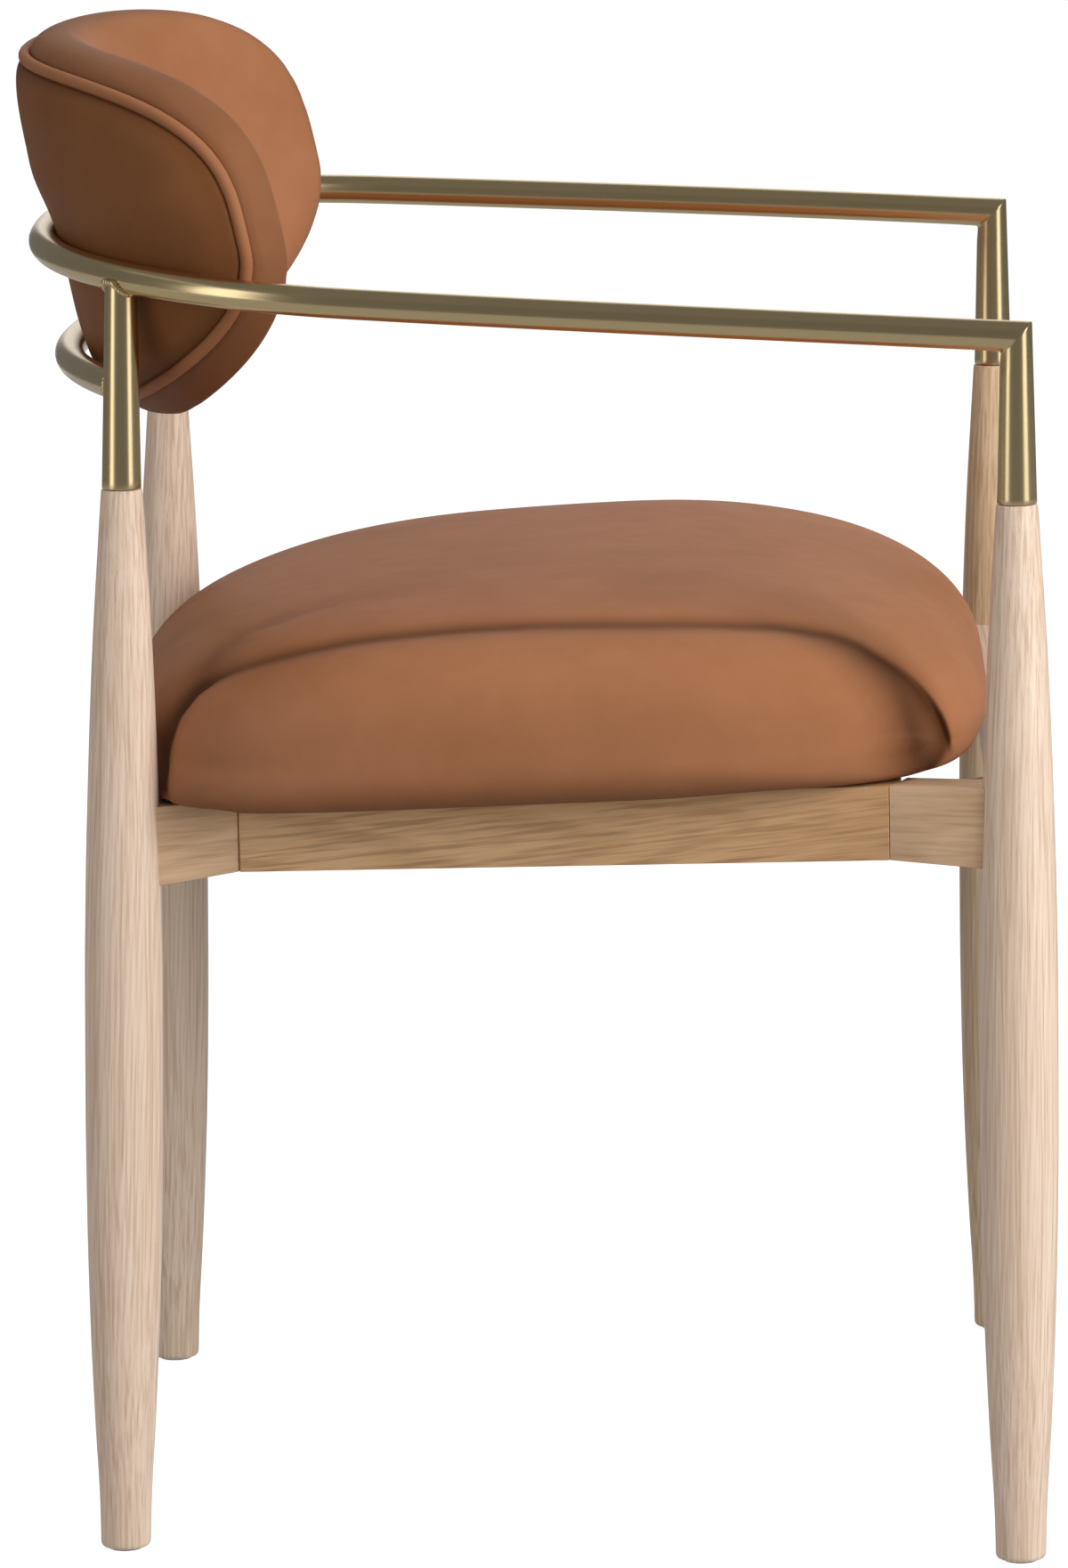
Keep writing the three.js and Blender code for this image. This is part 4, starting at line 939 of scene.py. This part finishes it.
def makeFrontPad():
    look = backLook
    angles = evenAngles(look["columns"], backOval)
    # The edge goes in under the piping.
    rings = [wrapAt(*[v * share for v in backOval(angles)], look["seamDeep"]) for share in (0.05, 0.5)]
    rings.append(wrapAt(*backOval(angles, look["seamHidden"]), look["seamDeep"] - 1.8))
    # Painted shade darkens the leather by the seam and fades over the roll.
    paintedShades = [look["seamShade"]] * 3
    for turn in np.linspace(0, math.pi / 2, look["rimRows"]):
        grow = math.sin(turn) ** 0.8
        deep = look["seamDeep"] + (look["rimDeep"] - look["seamDeep"]) * (1 - math.cos(turn))
        rim = [width * grow - look["seamIn"] * (1 - grow) for width in look["rim"]]
        rings.append(wrapAt(*backOval(angles, rim), deep))
        paintedShades.append(look["seamShade"] * math.exp(-(grow * look["rim"][1] / look["seamReach"]) ** 2))
    along, height = backOval(angles, look["rim"])
    reach = np.hypot(along, height)
    power = 2 / look["dome"]
    for turn in np.linspace(0, 1, look["domeRows"] + 1)[1:] * math.pi / 2:
        gap = 1 - max(math.cos(turn), 0) ** power
        share = 1 - gap * look["domeReach"] / reach
        deep = look["rimDeep"] + (look["padDeep"] - look["rimDeep"]) * math.sin(turn) ** power
        rings.append(wrapAt(along * share, height * share, deep))
    flatShare = 1 - look["domeReach"] / reach
    for step in np.linspace(1, 0.015, look["flatRows"] + 1)[1:]:
        rings.append(wrapAt(along * flatShare * step, height * flatShare * step, look["padDeep"]))
    obj = addSkin("back_pad_sewn", rings, leather)
    # Painted shade: the roll round the pad is painted a little darker than its front, most of all along
    # the bottom.
    seam = np.zeros(len(rings))
    seam[:len(paintedShades)] = paintedShades
    rim = look["rimShade"] * (1 - smoothStep(0, 12, np.arange(len(rings)) - len(paintedShades)))
    low = 1 + look["lowShade"] * (1 - smoothStep(-100, 20, height))
    setPaintedShade(obj, np.minimum(np.maximum(seam[:, None], rim[:, None] * low[None]), look["mostShade"]))
    standFor(obj, "leather", "backrest_front_pad")


def makeRearPanel():
    look = backLook
    angles = evenAngles(look["columns"], backOval)
    along, height = backOval(angles, -look["seamIn"])
    reach = np.hypot(along, height)
    rings = [wrapAt(along * share, height * share, look["panelHidden"]) for share in (0.05, 0.5)]
    rings.append(wrapAt(*backOval(angles, look["seamHidden"]), look["panelHidden"]))
    # Painted shade darkens the panel next to the seam.
    paintedShades = [0 * reach + look["panelSeamShade"]] * 3
    for share in 1 - np.linspace(0, 1, 50) ** 1.5:
        share = max(share, 0.004)
        gap = np.minimum((1 - share) * reach / look["panelReach"], 1)
        rise = 1 - (1 - gap) ** 2
        bulge = look["bulge"] * np.exp(-((height * share - look["bulgeUp"]) / look["bulgeHalf"]) ** 2)
        deep = look["panelDeep"] * (1 - rise ** 0.5) - bulge * rise
        rings.append(wrapAt(along * share, height * share, deep))
        paintedShades.append(look["panelSeamShade"] * np.exp(-((1 - share) * reach / look["seamReach"]) ** 2))
    obj = addSkin("back_panel_sewn", rings[::-1], shadedRearLeather)
    setPaintedShade(obj, np.array(paintedShades)[::-1])
    standFor(obj, "leather", "backrest_rear_panel")


def makePiping():
    look = backLook
    angles = evenAngles(look["pipingColumns"], backOval)
    centre = wrapAt(*backOval(angles, look["pipingOut"]), look["pipingDeep"])
    obj = runTree("back_piping_sewn", centre, True, makeBarTree("piping", leather),
                  Radius=look["pipingRadius"] / 1000, Sides=look["pipingSides"])
    standFor(obj, "leather", "backrest_piping")


makeFrontPad()
makeRearPanel()
makePiping()
print("backrest made")

# CAD pieces that are shown as they are, found by a word in their name.
shownAsTheyAre = {
    "_stud": steel, "screw": steel, "_glide": nylon, "_dowel": bareAsh, "_brace": plywood,
    "seat_board": plywood, "backrest_shell": plywood, "dust_cover": cloth,
}
for name, node in nodes.items():
    for word, material in shownAsTheyAre.items():
        if word in name:
            paint(node.data, material)

# Floor, light and camera, in metres. Cards are grey and strips white, and only shiny pieces see them.
studioLook = {
    "floorTone": "#B4B4B4", "floorHalf": 30, "floorGlow": 0.86, "soft": 0.39, "backdrop": 1.0,
    "card": 0.17, "strip": 2.0, "cardHalf": 3, "above": 3.4, "aboveGlow": 0.2, "below": 0.002,
    "belowGlow": 0.4, "ringAway": 3.6, "ringHeights": (-0.4, 3.4),
}
# Each lamp's name, place, aim, size, watts and colour.
lamps = [
    ("key", (2.75, -2.15, 1.8), (0, 0, 0.45), (1.6, 2.4), 104, (1, 1, 1)),
    ("fill", (-2.6, -2.2, 1.2), (0, 0, 0.45), (2.2, 2.2), 13, (1, 0.93, 0.85)),
    ("top", (0.5, 0.3, 3.0), (0, 0, 0.4), (2.2, 2.2), 15, (1, 1, 1)),
]
# Upright cards on a ring round the chair, each between two angles from the front, rightwards.
ringCards = [
    ("card_front", -42, 42, "card"), ("strip_right", 44, 66, "strip"), ("card_right", 68, 118, "card"),
    ("card_far_right", 118, 165, "card"), ("strip_left", -64, -48, "strip"),
    ("card_left", -118, -66, "card"), ("card_far_left", -165, -118, "card"),
]


# One for what the camera, gloss and glass see, and zero for light that falls on the chair.
def seenRays(tree):
    rays = addNode(tree, "ShaderNodeLightPath").outputs
    seen = rays["Is Camera Ray"]
    for kind in ("Is Glossy Ray", "Is Transmission Ray"):
        seen = addNode(tree, "ShaderNodeMath", {0: seen, 1: rays[kind]}, operation="MAXIMUM").outputs[0]
    return seen


def flatObject(name, corners):
    obj = addToScene(name, newMesh(name, corners, [], [(0, 1, 2, 3)]))
    return obj


def squareAt(half, height):
    return [(x * half, y * half, height) for x, y in ((-1, -1), (1, -1), (1, 1), (-1, 1))]


# The floor is pale, keeps its shadow and is lifted to white where it is looked at.
def makeFloor():
    floor = flatObject("floor", squareAt(studioLook["floorHalf"], 0))
    s = Shader("pale studio floor")
    glow = s.math("MULTIPLY", seenRays(s.tree), studioLook["floorGlow"])
    s.set(Base_Color=colour(studioLook["floorTone"]), Roughness=1.0, Specular_IOR_Level=0.0)
    s.set(Emission_Color=(1, 1, 1, 1), Emission_Strength=glow)
    paint(floor.data, s.material)


def makeWorld():
    world = bpy.data.worlds.new("studio")
    bpy.context.scene.world = world
    world.use_nodes = True
    tree = world.node_tree
    strength = addNode(tree, "ShaderNodeMapRange", {
        "Value": seenRays(tree), "To Min": studioLook["soft"], "To Max": studioLook["backdrop"]})
    background = tree.nodes["Background"].inputs
    putInto(tree, background["Strength"], strength.outputs["Result"])
    putInto(tree, background["Color"], (1, 1, 1, 1))


def makeLamp(name, place, aim, size, watts, tone):
    data = bpy.data.lights.new(name, "AREA")
    data.shape = "RECTANGLE"
    data.size, data.size_y = size
    data.energy = watts
    data.color = tone
    lamp = addToScene(name, data)
    lamp.location = place
    lamp.rotation_euler = (Vector(aim) - Vector(place)).to_track_quat("-Z", "Y").to_euler()
    lamp.visible_glossy = False


def makeCard(name, corners, glow):
    card = flatObject(name, corners)
    s = Shader(name)
    s.set(Base_Color=(0, 0, 0, 1), Emission_Color=(1, 1, 1, 1), Emission_Strength=glow)
    s.set(Specular_IOR_Level=0.0)
    paint(card.data, s.material)
    for kind in ("camera", "diffuse", "shadow", "transmission"):
        setattr(card, "visible_" + kind, False)


def makeRingCard(name, start, end, glow):
    away = studioLook["ringAway"]
    low, high = studioLook["ringHeights"]
    angles = math.radians(start), math.radians(end)
    first, last = ((away * math.sin(v), -away * math.cos(v)) for v in angles)
    makeCard(name, [(*first, low), (*last, low), (*last, high), (*first, high)], glow)


makeFloor()
makeWorld()
for lamp in lamps:
    makeLamp(*lamp)
for name, start, end, kind in ringCards:
    makeRingCard(name, start, end, studioLook[kind])
for place in ("above", "below"):
    corners = squareAt(studioLook["cardHalf"], studioLook[place])
    makeCard(f"card_{place}", corners, studioLook[place + "Glow"])
print("studio made")

# Camera fitted to the photograph. The aim and the distance are in millimetres.
cameraLook = {
    "yaw": -0.0287, "pitch": 0.181, "roll": -0.0201, "distance": 4996.3, "aim": (-18.3, 0, 365.8),
    "lens": 212.74, "sensor": 36,
}


def makeCamera():
    look = cameraLook
    yaw, pitch, roll = look["yaw"], look["pitch"], look["roll"]
    forward = Vector((math.sin(yaw) * math.cos(pitch), math.cos(yaw) * math.cos(pitch), -math.sin(pitch)))
    right = Vector((math.cos(yaw), -math.sin(yaw), 0))
    up = right.cross(forward)
    turnedRight = right * math.cos(roll) + up * math.sin(roll)
    turnedUp = up * math.cos(roll) - right * math.sin(roll)
    place = Vector(look["aim"]) - forward * look["distance"]
    data = bpy.data.cameras.new("camera")
    data.sensor_width = look["sensor"]
    data.lens = look["lens"]
    data.clip_end = 100
    camera = addToScene("camera", data)
    matrix = [[turnedRight[k], turnedUp[k], -forward[k], 0] for k in range(3)] + [[0, 0, 0, 1]]
    camera.matrix_world = Matrix.Translation(Vector(toRow(place))) @ Matrix(matrix)
    bpy.context.scene.camera = camera


makeCamera()
bpy.context.scene.view_settings.view_transform = "Standard"
